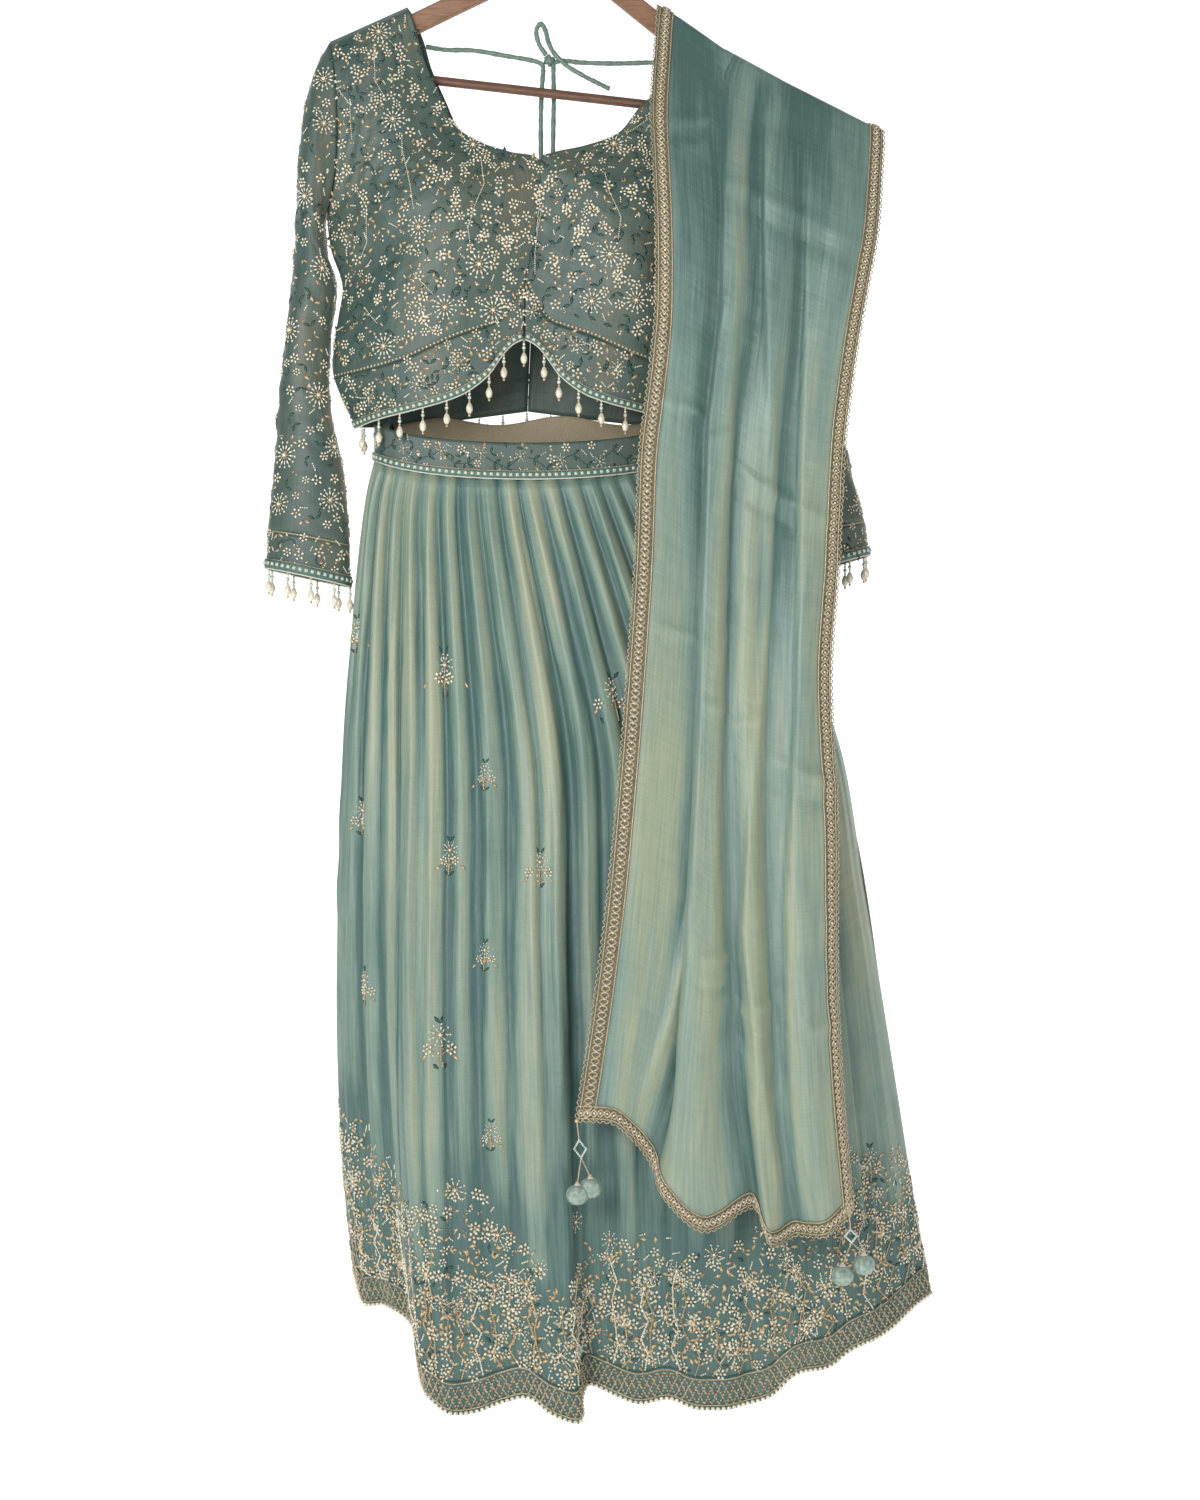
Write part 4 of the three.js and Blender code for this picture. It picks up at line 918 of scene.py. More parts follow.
class Beadwork:
    """All the beads of one part of the garment, made as one object."""

    STEM_STEP = 2.2 * MM

    def __init__(self, ground: Ground, seed: int) -> None:
        self.ground = ground
        self.rng = random.Random(SEED + seed)
        self.places: dict[tuple[Bead, Finish], list[np.ndarray]] = {}

    def put(self, bead: Bead, finish: Finish, at: Vector, along: Vector, size: Sequence[float],
            lift: float = 0.4) -> None:
        """Sews one bead to the nearest place on the cloth.

        Args:
            bead: its shape.
            finish: its finish.
            at: a point near the cloth.
            along: the way that its length lies.
            size: half its length, width and height in metres.
            lift: how far its middle stands off the cloth, in shares of its height.
        """
        spot, normal = self.ground.snap(at)
        self.place(bead, finish, spot + normal * size[2] * lift, normal, along, size)

    def place(self, bead: Bead, finish: Finish, at: Vector, normal: Vector, along: Vector,
              size: Sequence[float]) -> None:
        """Puts one bead at a point, with its length as near to a direction as its facing allows."""
        side = normal.cross(along)
        if side.length < 1e-6:
            side = normal.orthogonal()
        side.normalize()
        ahead = side.cross(normal)
        matrix = np.eye(4)
        matrix[:3, 0] = np.array(ahead) * size[0]
        matrix[:3, 1] = np.array(side) * size[1]
        matrix[:3, 2] = np.array(normal) * size[2]
        matrix[:3, 3] = np.array(at)
        self.places.setdefault((bead, finish), []).append(matrix)

    def tangent(self, at: Vector, up: Vector) -> tuple[Vector, Vector, Vector]:
        """A place on the cloth with two directions in the cloth there, across and up."""
        spot, normal = self.ground.snap(at)
        side = up.cross(normal)
        if side.length < 1e-6:
            side = normal.orthogonal()
        side.normalize()
        return spot, side, normal.cross(side)

    def sunburst(self, at: Vector, radius: float, petals: int = 13) -> None:
        """A large flower of long glass petals, with a loop at the end of each."""
        spot, side, up = self.tangent(at, UP)
        start = self.rng.uniform(0, 1)
        self.put(Bead.DOME, Finish.BEAD, spot, up, [radius * 0.17] * 3)
        for k in range(7):
            way = self.turned(side, up, k / 7)
            self.put(Bead.GRAIN, Finish.GOLD, spot + way * radius * 0.24, way, [radius * 0.1] * 3)
        for k in range(petals):
            way = self.turned(side, up, (k + start) / petals)
            reach = radius * self.rng.uniform(0.94, 1.06)
            long = (reach * 0.28, reach * 0.08, reach * 0.08)
            self.put(Bead.GRAIN, Finish.BEAD, spot + way * reach * 0.58, way, long, 0.6)
            loop = (reach * 0.12, reach * 0.12, reach * 0.09)
            self.put(Bead.GRAIN, Finish.BEAD, spot + way * reach * 0.93, way, loop)

    @staticmethod
    def turned(side: Vector, up: Vector, share: float) -> Vector:
        """A direction that is a share of a full turn from one towards the other."""
        return side * math.cos(2 * math.pi * share) + up * math.sin(2 * math.pi * share)

    def blossom(self, at: Vector, radius: float, petals: int = 6) -> None:
        """A small flower of round beads about a sequin."""
        spot, side, up = self.tangent(at, UP)
        start = self.rng.uniform(0, 1)
        self.put(Bead.CUP, Finish.GOLD, spot, up, [radius * 0.3] * 3)
        for k in range(petals):
            way = self.turned(side, up, (k + start) / petals)
            size = (radius * 0.36, radius * 0.27, radius * 0.2)
            self.put(Bead.GRAIN, Finish.BEAD, spot + way * radius * 0.66, way, size, 0.6)

    def sequins(self, at: Vector, spread: float, count: int) -> None:
        """A loose cluster of gold and peach sequins."""
        spot, side, up = self.tangent(at, UP)
        for _ in range(count):
            way = self.turned(side, up, self.rng.random()) * spread * math.sqrt(self.rng.random())
            finish = self.rng.choice((Finish.GOLD, Finish.PEACH, Finish.PEACH, Finish.BEAD))
            size = self.rng.uniform(0.9, 1.5) * MM
            self.put(Bead.CUP, finish, spot + way, up, (size, size, size * 0.6), 0.5)

    def leaf(self, at: Vector, way: Vector, length: float, thread: Finish = Finish.LEAF) -> None:
        """A stitched leaf that starts at a place and points along a way."""
        size = (length / 2, length * 0.2, 0.6 * MM)
        self.put(Bead.GRAIN, thread, at + way.normalized() * length / 2, way, size)

    def leaf_pair(self, at: Vector, way: Vector, length: float, thread: Finish = Finish.LEAF) -> None:
        """Two leaves that open from a stem."""
        spot, side, up = self.tangent(at, way)
        for sign in (-1, 1):
            self.leaf(spot, up * 0.75 + side * sign, length, thread)

    def stem(self, line: Sequence[Vector], finish: Finish = Finish.BEAD, radius: float = 0.85 * MM) -> None:
        """A row of small beads along a line."""
        for start, end in zip(line[:-1], line[1:]):
            way = end - start
            count = max(1, round(way.length / self.STEM_STEP))
            for k in range(count):
                size = (radius * 1.25, radius, radius)
                self.put(Bead.GRAIN, finish, start + way * (k / count), way, size, 0.5)

    def build(self, name: str, slot: Finish) -> bpy.types.Object:
        """Makes every bead as one object."""
        finishes = sorted({finish for _, finish in self.places}, key=lambda f: f.name)
        points, faces, slots = [], [], []
        offset = 0
        for (bead, finish), matrices in self.places.items():
            shape, sides = bead.shape()
            placed = np.einsum("nij,vj->nvi", np.array(matrices)[:, :3, :3], shape)
            placed += np.array(matrices)[:, None, :3, 3]
            points.append(placed.reshape(-1, 3))
            for k in range(len(matrices)):
                start = offset + k * len(shape)
                faces.extend([start + i for i in side] for side in sides)
            slots.extend([finishes.index(finish)] * (len(matrices) * len(sides)))
            offset += len(shape) * len(matrices)
        data = bpy.data.meshes.new(name)
        data.from_pydata(np.concatenate(points).tolist(), [], faces)
        for finish in finishes:
            data.materials.append(finish.material)
        data.polygons.foreach_set("material_index", slots)
        data.shade_smooth()
        LOG.info("%s: %d faces", name, len(faces))
        return finish_piece(add_object(data), slot)


# Studio

@dataclass(frozen=True)
class SoftBox:
    """A square light that looks at the garment.

    Args:
        place: where it stands, in metres.
        power: in watts.
        size: its side in metres.
    """

    place: tuple[float, float, float]
    power: float
    size: float


@dataclass(frozen=True)
class Studio:
    """Soft daylight from the front, with a white wall and floor."""

    target: tuple[float, float, float] = (0.05, 0.0, -0.9)
    floor: float = -1.8
    wall: float = 4.0
    world: float = 0.2
    boxes: tuple[SoftBox, ...] = (
        SoftBox((-1.0, -2.3, -0.2), 50, 1.2),
        SoftBox((2.4, -2.0, -0.6), 12, 2.0),
    )

    def make(self) -> None:
        """Adds the lights, the world, the wall and the floor."""
        scene = bpy.context.scene
        scene.view_settings.view_transform = "Standard"
        world = bpy.data.worlds.new("daylight")
        world.use_nodes = True
        background = world.node_tree.nodes["Background"]
        background.inputs["Color"].default_value = (1, 1, 1, 1)
        background.inputs["Strength"].default_value = self.world
        scene.world = world
        for k, box in enumerate(self.boxes):
            light = bpy.data.lights.new(f"soft_box_{k}", "AREA")
            light.energy, light.size = box.power, box.size
            holder = add_object(light)
            holder.location = box.place
            aim = Vector(self.target) - Vector(box.place)
            holder.rotation_euler = aim.to_track_quat("-Z", "Y").to_euler()
        shader = Shader("white_paper")
        shader.set(Base_Color=(0.5, 0.5, 0.5), Roughness=0.95, Emission_Color=(1, 1, 1),
                   Emission_Strength=0.97)
        self.sheet("floor", (0, 0, self.floor), 0.0, shader.material)
        self.sheet("back_wall", (0, self.wall, 0), math.pi / 2, shader.material)

    @staticmethod
    def sheet(name: str, place: tuple[float, float, float], tilt: float,
              material: bpy.types.Material) -> bpy.types.Object:
        """A large flat sheet of the studio."""
        mesh = bmesh.new()
        bmesh.ops.create_grid(mesh, x_segments=1, y_segments=1, size=9)
        bmesh.ops.rotate(mesh, verts=mesh.verts, matrix=Matrix.Rotation(tilt, 3, "X"))
        bmesh.ops.translate(mesh, verts=mesh.verts, vec=place)
        data = bpy.data.meshes.new(name)
        mesh.to_mesh(data)
        mesh.free()
        data.materials.append(material)
        return add_object(data)


# Ties

@dataclass(frozen=True)
class Tie:
    """One free cord of the neck tie.

    Args:
        node: the CAD tube that it replaces.
        route: points along it in millimetres, as the part has them.
        radius: of the cord.
    """

    node: str
    route: tuple[tuple[float, float, float], ...]
    radius: float = 2.5 * MM

    def make(self) -> bpy.types.Object:
        points = np.array(self.route) * MM
        smooth = blend_rows(points, np.linspace(0, len(points) - 1, 8 * len(points)), False)
        data = bpy.data.curves.new(f"{self.node}_silk", "CURVE")
        data.dimensions = "3D"
        data.bevel_depth = self.radius
        data.bevel_resolution = 3
        data.use_fill_caps = True
        spline = data.splines.new("POLY")
        spline.points.add(len(smooth) - 1)
        for k, (point, place) in enumerate(zip(spline.points, smooth)):
            point.co = (*place, 1)
            point.radius = 1 + 0.08 * math.sin(1.7 * k) + 0.05 * math.sin(0.6 * k)
        made = finish_piece(add_object(data), Finish.DORI, [self.node])
        length = float(np.linalg.norm(np.diff(smooth, axis=0), axis=-1).sum())
        return made


TIES = (
    Tie("dori_left", (
        (-161.6, 15.2, -190), (-140, 20, -192), (-111, 22, -192), (-75, 22, -198), (-48, 21, -203),
        (-37.4, 20, -207.4), (-35.6, 19, -214), (-37, 18.5, -236), (-38, 18, -262), (-38, 18, -300),
        (-37.5, 18, -338))),
    Tie("dori_right", (
        (117, 14.6, -211), (100, 16.5, -208), (80, 18.7, -206), (60, 21, -206), (35, 22, -206),
        (5, 22, -205), (-12, 21, -203.5), (-23.2, 20, -205.8), (-24.5, 19, -216), (-24, 18.5, -240),
        (-24.5, 18, -270), (-25, 18, -305), (-25, 18, -330))),
    Tie("dori_bow", (
        (-32.5, 20, -197.4), (-40, 19, -186), (-43, 19, -172), (-38, 19, -164), (-33, 18, -172),
        (-30, 15.5, -184), (-24, 13.5, -197), (-10, 13, -211), (10, 13, -223), (24, 13, -230),
        (36, 13, -236))),
)


# Borders and strands

class Border:
    """A strip of cloth along one edge, in metres along it and metres in from it.

    Args:
        patch: the cloth's patch.
        edge: top, hem, left or right.
        reach: how far in from the edge it goes; it also goes a little way out past it.
        step: spacing of its points along the edge.
    """

    OUT = 4 * MM
    ACROSS = 1 * MM

    def __init__(self, patch: Patch, edge: str, reach: float, step: float = 1.6 * MM) -> None:
        lines, normals = patch.points, patch.normals
        if edge in ("top", "hem"):
            lines, normals = np.swapaxes(lines, 0, 1), np.swapaxes(normals, 0, 1)
        if edge in ("hem", "right"):
            lines, normals = lines[:, ::-1], normals[:, ::-1]
        self.offsets = np.arange(-self.OUT, reach + self.ACROSS, self.ACROSS)
        strip = np.stack([self.sampled(line, line) for line in lines])
        facing = np.stack([self.sampled(line, normal) for line, normal in zip(lines, normals)])
        gaps = np.linalg.norm(np.diff(lines[:, 0], axis=0), axis=-1)
        along = np.concatenate([[0], np.cumsum(gaps)])
        self.length = float(along[-1])
        self.along = np.linspace(0, self.length, max(2, round(self.length / step)))
        self.points = self.resampled(along, strip)
        self.normals = self.resampled(along, facing)
        self.normals /= np.linalg.norm(self.normals, axis=-1, keepdims=True)

    def sampled(self, line: np.ndarray, values: np.ndarray) -> np.ndarray:
        """Values at the offsets in from the start of a line of points."""
        done = np.concatenate([[0], np.cumsum(np.linalg.norm(np.diff(line, axis=0), axis=-1))])
        inside = np.stack([np.interp(self.offsets, done, values[:, k]) for k in range(3)], axis=-1)
        if values is line:
            way = (line[0] - line[1]) / done[1]
            inside += np.clip(-self.offsets, 0, None)[:, None] * way
        return inside

    def resampled(self, along: np.ndarray, strip: np.ndarray) -> np.ndarray:
        """A strip at even places along the edge."""
        spot = np.interp(self.along, along, np.arange(len(along)))
        low = np.clip(spot.astype(int), 0, len(along) - 2)
        share = (spot - low)[:, None, None]
        return strip[low] * (1 - share) + strip[low + 1] * share

    def at(self, along: np.ndarray, offset: np.ndarray, lift: np.ndarray | float = 0.0) -> np.ndarray:
        """Points at places along the edge and in from it, lifted off the cloth."""
        i = np.clip(np.asarray(along) / self.length, 0, 1) * (len(self.along) - 1)
        j = np.clip((np.asarray(offset) + self.OUT) / self.ACROSS, 0, len(self.offsets) - 1)
        i0 = np.clip(i.astype(int), 0, len(self.along) - 2)
        j0 = np.clip(j.astype(int), 0, len(self.offsets) - 2)
        a, b = (i - i0)[..., None], (j - j0)[..., None]
        result = []
        for values in (self.points, self.normals):
            near = values[i0, j0] * (1 - b) + values[i0, j0 + 1] * b
            far = values[i0 + 1, j0] * (1 - b) + values[i0 + 1, j0 + 1] * b
            result.append(near * (1 - a) + far * a)
        return result[0] + result[1] * np.broadcast_to(np.asarray(lift), i.shape)[..., None]

    def line(self, offset: float, lift: float) -> np.ndarray:
        """A plain line along the edge."""
        return self.at(self.along, np.full(self.along.shape, offset), lift)

    def wave(self, middle: float, swing: float, period: float, phase: float, lift: float) -> np.ndarray:
        """A line that swings from side to side and passes over and under another."""
        turn = 2 * math.pi * self.along / period + phase
        return self.at(self.along, middle + swing * np.sin(turn), lift + 0.3 * MM * np.cos(turn))

    def scallops(self, middle: float, swing: float, period: float, lift: float) -> np.ndarray:
        """A line of small arches that stand out past the edge."""
        return self.at(self.along, middle - swing * np.abs(np.sin(math.pi * self.along / period)), lift)

    def places(self, step: float, offset: float) -> np.ndarray:
        """Evenly spaced points along the edge."""
        count = max(2, round(self.length / step))
        along = (np.arange(count) + 0.5) * self.length / count
        return self.at(along, np.full(count, offset))

    def ribbon(self, name: str, inner: float, outer: float, lift: float, finish: Finish,
               thick: float) -> bpy.types.Object:
        """A flat ribbon on the cloth, from one distance in from the edge to another.

        Args:
            name: of the piece.
            inner: the far side's distance in.
            outer: the near side's distance in.
            lift: how far its outer face is off the cloth.
            finish: its finish.
            thick: its thickness.
        """
        shares = np.linspace(0, 1, 7)
        offsets = outer + (inner - outer) * shares
        along = np.repeat(self.along[:, None], len(shares), axis=1)
        inward = np.broadcast_to(offsets, along.shape)
        grid = self.at(along, inward, lift)
        normals = self.at(along, inward, 1.0) - self.at(along, inward)
        patch = Patch(grid, normals, inward, along)
        made = build_grid(name, patch, np.full(along.shape, 0.5))
        solid = made.modifiers.new("wall", "SOLIDIFY")
        solid.thickness, solid.offset = thick, -1
        finish_piece(made, finish)
        declare_sheet(patch)
        return made


class Strands:
    """Round cords and threads of one part of the garment, made as one object."""

    def __init__(self) -> None:
        self.lines: list[tuple[np.ndarray, float, Finish, int]] = []

    def add(self, points: np.ndarray, radius: float, finish: Finish, sides: int = 4) -> None:
        """Adds a cord along points."""
        self.lines.append((np.asarray(points), radius, finish, sides))

    def build(self, name: str, slot: Finish, nodes: Sequence[str] = ()) -> bpy.types.Object:
        """Makes every cord as one object."""
        mesh = bmesh.new()
        finishes = sorted({line[2] for line in self.lines}, key=lambda f: f.name)
        for points, radius, finish, sides in self.lines:
            count = len(points)
            ahead = np.gradient(points, axis=0)
            ahead /= np.linalg.norm(ahead, axis=-1, keepdims=True) + 1e-12
            side = np.cross(ahead, (0.13, 0.97, 0.21))
            side /= np.linalg.norm(side, axis=-1, keepdims=True) + 1e-12
            up = np.cross(side, ahead)
            before = len(mesh.faces)
            verts = bmesh.ops.create_grid(mesh, x_segments=sides, y_segments=count - 1, size=1)["verts"]
            for vert in verts:
                k = round((1 - vert.co.y) / 2 * (count - 1))
                turn = math.pi * (vert.co.x + 1)
                vert.co = points[k] + radius * (side[k] * math.cos(turn) + up[k] * math.sin(turn))
            mesh.faces.ensure_lookup_table()
            for index in range(before, len(mesh.faces)):
                mesh.faces[index].material_index = finishes.index(finish)
        bmesh.ops.remove_doubles(mesh, verts=mesh.verts, dist=1e-6)
        rims = [edge for edge in mesh.edges if edge.is_boundary]
        bmesh.ops.holes_fill(mesh, edges=rims, sides=10)
        bmesh.ops.recalc_face_normals(mesh, faces=mesh.faces)
        for f in mesh.faces:
            f.smooth = True
        data = bpy.data.meshes.new(name)
        mesh.to_mesh(data)
        mesh.free()
        for finish in finishes:
            data.materials.append(finish.material)
        LOG.info("%s: %d faces", name, len(data.polygons))
        return finish_piece(add_object(data), slot, nodes)


# Hanging beads

def drop_tips(node: str) -> list[Vector]:
    """The lowest point of each drop of a CAD node, where all edges rise steeply."""
    mesh = bmesh.new()
    mesh.from_mesh(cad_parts[node].data)
    bmesh.ops.remove_doubles(mesh, verts=mesh.verts, dist=WELD)
    tips = [v.co.copy() for v in mesh.verts
            if all(e.other_vert(v).co.z > v.co.z + 1.5 * MM for e in v.link_edges)]
    mesh.free()
    return tips


@dataclass(frozen=True)
class Drop:
    """A pearl teardrop on a beaded thread.

    Args:
        beads: (distance down, radius, finish) for the beads on the thread, in metres.
        pearl: distance down, half length and radius of the teardrop.
    """

    LONG = 29 * MM

    beads: tuple[tuple[float, float, Finish], ...] = (
        (2.2 * MM, 1.3 * MM, Finish.GOLD),
        (5.0 * MM, 1.5 * MM, Finish.BEAD),
        (8.6 * MM, 2.2 * MM, Finish.CRYSTAL),
        (12.0 * MM, 1.3 * MM, Finish.GOLD),
        (27.4 * MM, 1.5 * MM, Finish.GOLD),
    )
    pearl: tuple[float, float, float] = (19.6 * MM, 6.6 * MM, 3.8 * MM)

    def hang(self, work: Beadwork, top: np.ndarray) -> None:
        """Adds the drop to a beadwork, straight down from a point."""
        for down, radius, finish in self.beads:
            spot = Vector(top) - Vector((0, 0, down))
            work.place(Bead.DOME, finish, spot, TOWARDS, UP, (radius * 1.1, radius, radius))
        down, half, radius = self.pearl
        spot = Vector(top) - Vector((0, 0, down))
        work.place(Bead.DROP, Finish.PEARL, spot, TOWARDS, UP, (half, radius, radius))


@dataclass(frozen=True)
class Tassel:
    """Two fabric balls on a beaded cord.

    Args:
        node: the CAD tassel that it replaces.
        root: where its cord leaves the dupatta, in metres.
        balls: the balls' middles.
        radius: of a ball.
    """

    node: str
    root: tuple[float, float, float]
    balls: tuple[tuple[float, float, float], ...]
    radius: float = 11 * MM

    def ball(self, centre: Vector, seed: int) -> bpy.types.Object:
        """A ball of gathered cloth, with its gathers drawn in at both ends."""
        rng = random.Random(SEED + seed)
        mesh = bmesh.new()
        bmesh.ops.create_uvsphere(mesh, u_segments=40, v_segments=20, radius=self.radius)
        gathers = rng.choice((8, 9, 10))
        for vert in mesh.verts:
            turn = math.atan2(vert.co.y, vert.co.x)
            high = vert.co.z / self.radius
            gather = math.cos(gathers * turn + 0.7 * math.sin(2 * turn))
            pull = 0.045 * gather * math.sqrt(max(0, 1 - high**2))
            vert.co *= 1 + pull - 0.08 * high**6
        bmesh.ops.translate(mesh, verts=mesh.verts, vec=centre)
        for f in mesh.faces:
            f.smooth = True
        data = bpy.data.meshes.new(f"{self.node}_ball_{seed}")
        mesh.to_mesh(data)
        mesh.free()
        return finish_piece(add_object(data), Finish.BALL)

    def build(self, work: Beadwork, strands: Strands) -> list[bpy.types.Object]:
        """Adds the balls, and the beads and cords to the dupatta's beadwork and strands."""
        root = Vector(self.root)
        tops = []
        made = []
        for k, place in enumerate(self.balls):
            centre = Vector(place)
            made.append(self.ball(centre, k + len(self.node)))
            top = centre + Vector((0, 0, self.radius))
            tops.append(top)
            for petal in range(7):
                turn = 2 * math.pi * petal / 7
                way = Vector((math.cos(turn), math.sin(turn), -0.75)).normalized()
                face = (way + Vector((0, 0, 1.2))).normalized()
                size = (5.6 * MM, 2.7 * MM, 1 * MM)
                work.place(Bead.DOME, Finish.PEARL, top + way * 4.6 * MM, face, way, size)
            spot = top + UP * 1.4 * MM
            work.place(Bead.DOME, Finish.GOLD, spot, TOWARDS, TOWARDS.orthogonal(), [2 * MM] * 3)
        middle = (tops[0] + tops[1]) / 2
        knot = root.lerp(middle, 0.62)
        wide = Vector((6 * MM, 0, 0))
        corners = [root.lerp(knot, 0.52), root.lerp(knot, 0.76) - wide, knot, root.lerp(knot, 0.76) + wide]
        strands.add(np.linspace(root, corners[0], 12), 0.9 * MM, Finish.BRAID)
        for start, end in zip(corners, corners[1:] + corners[:1]):
            strands.add(np.linspace(start, end, 8), 0.6 * MM, Finish.BRAID)
            for k in range(5):
                spot = start.lerp(end, k / 5)
                work.place(Bead.DOME, Finish.CRYSTAL, spot, TOWARDS, end - start, [1.3 * MM] * 3)
        for top in tops:
            strands.add(np.linspace(knot, top, 10), 0.8 * MM, Finish.BRAID)
        work.place(Bead.DOME, Finish.GOLD, root, TOWARDS, TOWARDS.orthogonal(), [2.4 * MM] * 3)
        return made


TASSELS = (
    Tassel("tassel_left", (0.0023, -0.1425, -1.3212), ((0.003, -0.152, -1.394), (0.016, -0.148, -1.388))),
    Tassel("tassel_right", (0.279, -0.124, -1.42), ((0.272, -0.126, -1.481), (0.294, -0.122, -1.471))),
)


# Embroidery, at pixels of the photograph

SUNBURSTS = (
    (379, 32), (393, 119), (473, 145), (614, 144), (419, 227), (479, 264), (493, 310), (445, 307),
    (384, 346), (592, 301), (636, 300), (610, 254), (324, 79), (305, 196), (322, 268), (290, 330),
    (318, 395), (285, 455), (330, 500),
)
BAND_FLOWERS = ((532, 312), (577, 345), (618, 367), (458, 365), (417, 384), (369, 398))
BLOSSOMS = (
    (415, 88), (421, 143), (373, 55), (392, 78), (358, 78), (457, 119), (636, 119), (642, 147),
    (456, 199), (499, 191), (465, 173), (586, 186), (633, 189), (567, 209), (594, 211), (603, 225),
    (516, 219), (484, 237), (507, 242), (433, 169), (447, 176), (428, 184), (554, 260), (579, 230),
    (585, 260), (618, 275), (408, 288), (378, 299), (438, 331), (425, 320), (637, 331), (446, 254),
    (461, 235), (336, 205), (347, 170), (361, 293), (544, 190), (549, 184), (540, 196),
)
BEAD_LINES = (
    ((374, 48), (375, 80), (387, 102)),
    ((390, 41), (399, 52)),
    ((336, 90), (350, 104), (352, 141)),
    ((432, 107), (455, 124), (462, 136)),
    ((402, 134), (402, 157)),
    ((627, 133), (649, 119)),
    ((403, 152), (410, 184), (414, 210)),
    ((481, 159), (484, 184), (474, 207), (468, 228), (471, 251)),
    ((543, 204), (538, 228), (535, 253), (535, 276)),
    ((605, 173), (609, 191), (621, 217), (618, 240)),
    ((356, 189), (367, 207), (367, 242), (361, 258)),
    ((414, 274), (434, 295)),
    ((365, 308), (378, 324)),
)
BUTTIS = (
    ((357, 628), 1.0), ((445, 665), 1.3), ((612, 690), 1.3), ((485, 770), 0.8), ((363, 810), 1.0),
    ((450, 850), 1.0), ((540, 862), 1.0), ((365, 980), 1.0), ((485, 950), 0.8), ((440, 1035), 1.3),
    ((491, 1130), 0.8), ((870, 1157), 1.0),
)
HEM_FLOWERS = (
    (714, 1255), (735, 1353), (665, 1317), (620, 1345), (643, 1355), (745, 1281), (703, 1294), (806, 1332),
    (814, 1311), (864, 1251), (876, 1196), (769, 1340), (672, 1274), (380, 1180), (420, 1215), (455, 1190),
    (498, 1235), (540, 1268), (575, 1222), (400, 1262), (470, 1290), (520, 1330), (560, 1355), (610, 1240),
)
# Pixels along each crease, its height and half its width, both in millimetres.
DUPATTA_CREASES = (
    (((670, 122), (715, 122)), 2.2, 6),
    (((670, 138), (705, 138)), -1.6, 6),
    (((724, 180), (765, 200), (860, 245)), 3.0, 7),
    (((735, 205), (790, 235), (850, 262)), -2.0, 7),
    (((664, 400), (705, 416)), 2.6, 6),
    (((708, 440), (730, 435)), 2.2, 6),
    (((734, 465), (765, 490), (825, 520)), 3.0, 7),
    (((730, 488), (770, 515), (815, 540)), -2.0, 7),
    (((655, 625), (702, 642)), 2.6, 6),
    (((700, 703), (726, 711)), 2.2, 6),
    (((728, 730), (760, 717)), 2.2, 6),
    (((765, 757), (840, 790)), 3.0, 7),
    (((762, 780), (835, 812)), -2.0, 7),
    (((688, 958), (735, 960)), 2.4, 6),
    (((690, 985), (735, 995)), -2.0, 6),
    (((740, 1013), (775, 1003)), 2.4, 6),
    (((783, 1032), (838, 1025)), 2.6, 7),
)
# Pixels down the edge of each lap, its height and its fade, both in millimetres.
DUPATTA_LAPS = (
    (((726, 40), (722, 310), (708, 430), (702, 620), (700, 703), (690, 900), (668, 1010), (640, 1100)),
     8, 26),
    (((762, 80), (764, 240), (768, 420), (762, 600), (752, 760), (742, 930), (757, 1080), (778, 1230)),
     6.5, 22),
    (((806, 130), (805, 300), (800, 480), (796, 700), (786, 900), (790, 1080), (803, 1230)), 5.5, 20),
)


def spread(cloth: Cloth, spacing: float, rng: random.Random, taken: list[Vector], tries: int = 4000,
           keep: Callable[[float, float, Vector], bool] | None = None) -> list[Vector]:
    """Places on a cloth that stand clear of each other and of those already taken."""
    found = []
    cells: dict[tuple[int, ...], list[Vector]] = {}
    for point in taken:
        cells.setdefault(tuple(int(c // spacing) for c in point), []).append(point)
    for _ in range(tries):
        u, v = rng.random(), rng.random()
        point = cloth.at(u, v)[0]
        if keep and not keep(u, v, point):
            continue
        home = tuple(int(c // spacing) for c in point)
        near = (other for dx in (-1, 0, 1) for dy in (-1, 0, 1) for dz in (-1, 0, 1)
                for other in cells.get((home[0] + dx, home[1] + dy, home[2] + dz), ()))
        if any((other - point).length < spacing for other in near):
            continue
        cells.setdefault(home, []).append(point)
        found.append(point)
    return found


# Garments

def filler(work: Beadwork, spots: Sequence[Vector], gold: float = 0.3, size: float = 1.0) -> None:
    """Small leaves, sequins, beads and blossoms at the places that larger flowers leave free.

    Args:
        work: the beadwork that takes them.
        spots: where they go.
        gold: the share of leaves that are gold thread.
        size: how large they are.
    """
    rng = work.rng
    for spot in spots:
        pick = rng.random()
        way = Vector((rng.uniform(-1, 1), rng.uniform(-0.3, 0.3), rng.uniform(-1, 1)))
        thread = Finish.GOLD if rng.random() < gold else Finish.LEAF
        if pick < 0.24:
            work.leaf_pair(spot, way, rng.uniform(6, 8.5) * MM * size, thread)
        elif pick < 0.48:
            work.sequins(spot, 3.4 * MM, rng.randint(3, 5))
        elif pick < 0.76:
            work.blossom(spot, rng.uniform(3.8, 5.6) * MM * size, rng.choice((5, 6)))
        elif pick < 0.9:
            work.stem([spot, spot + way.normalized() * rng.uniform(6, 10) * MM], Finish.BEAD, 0.9 * MM * size)
        else:
            work.leaf(spot, way, rng.uniform(6, 9) * MM * size, thread)


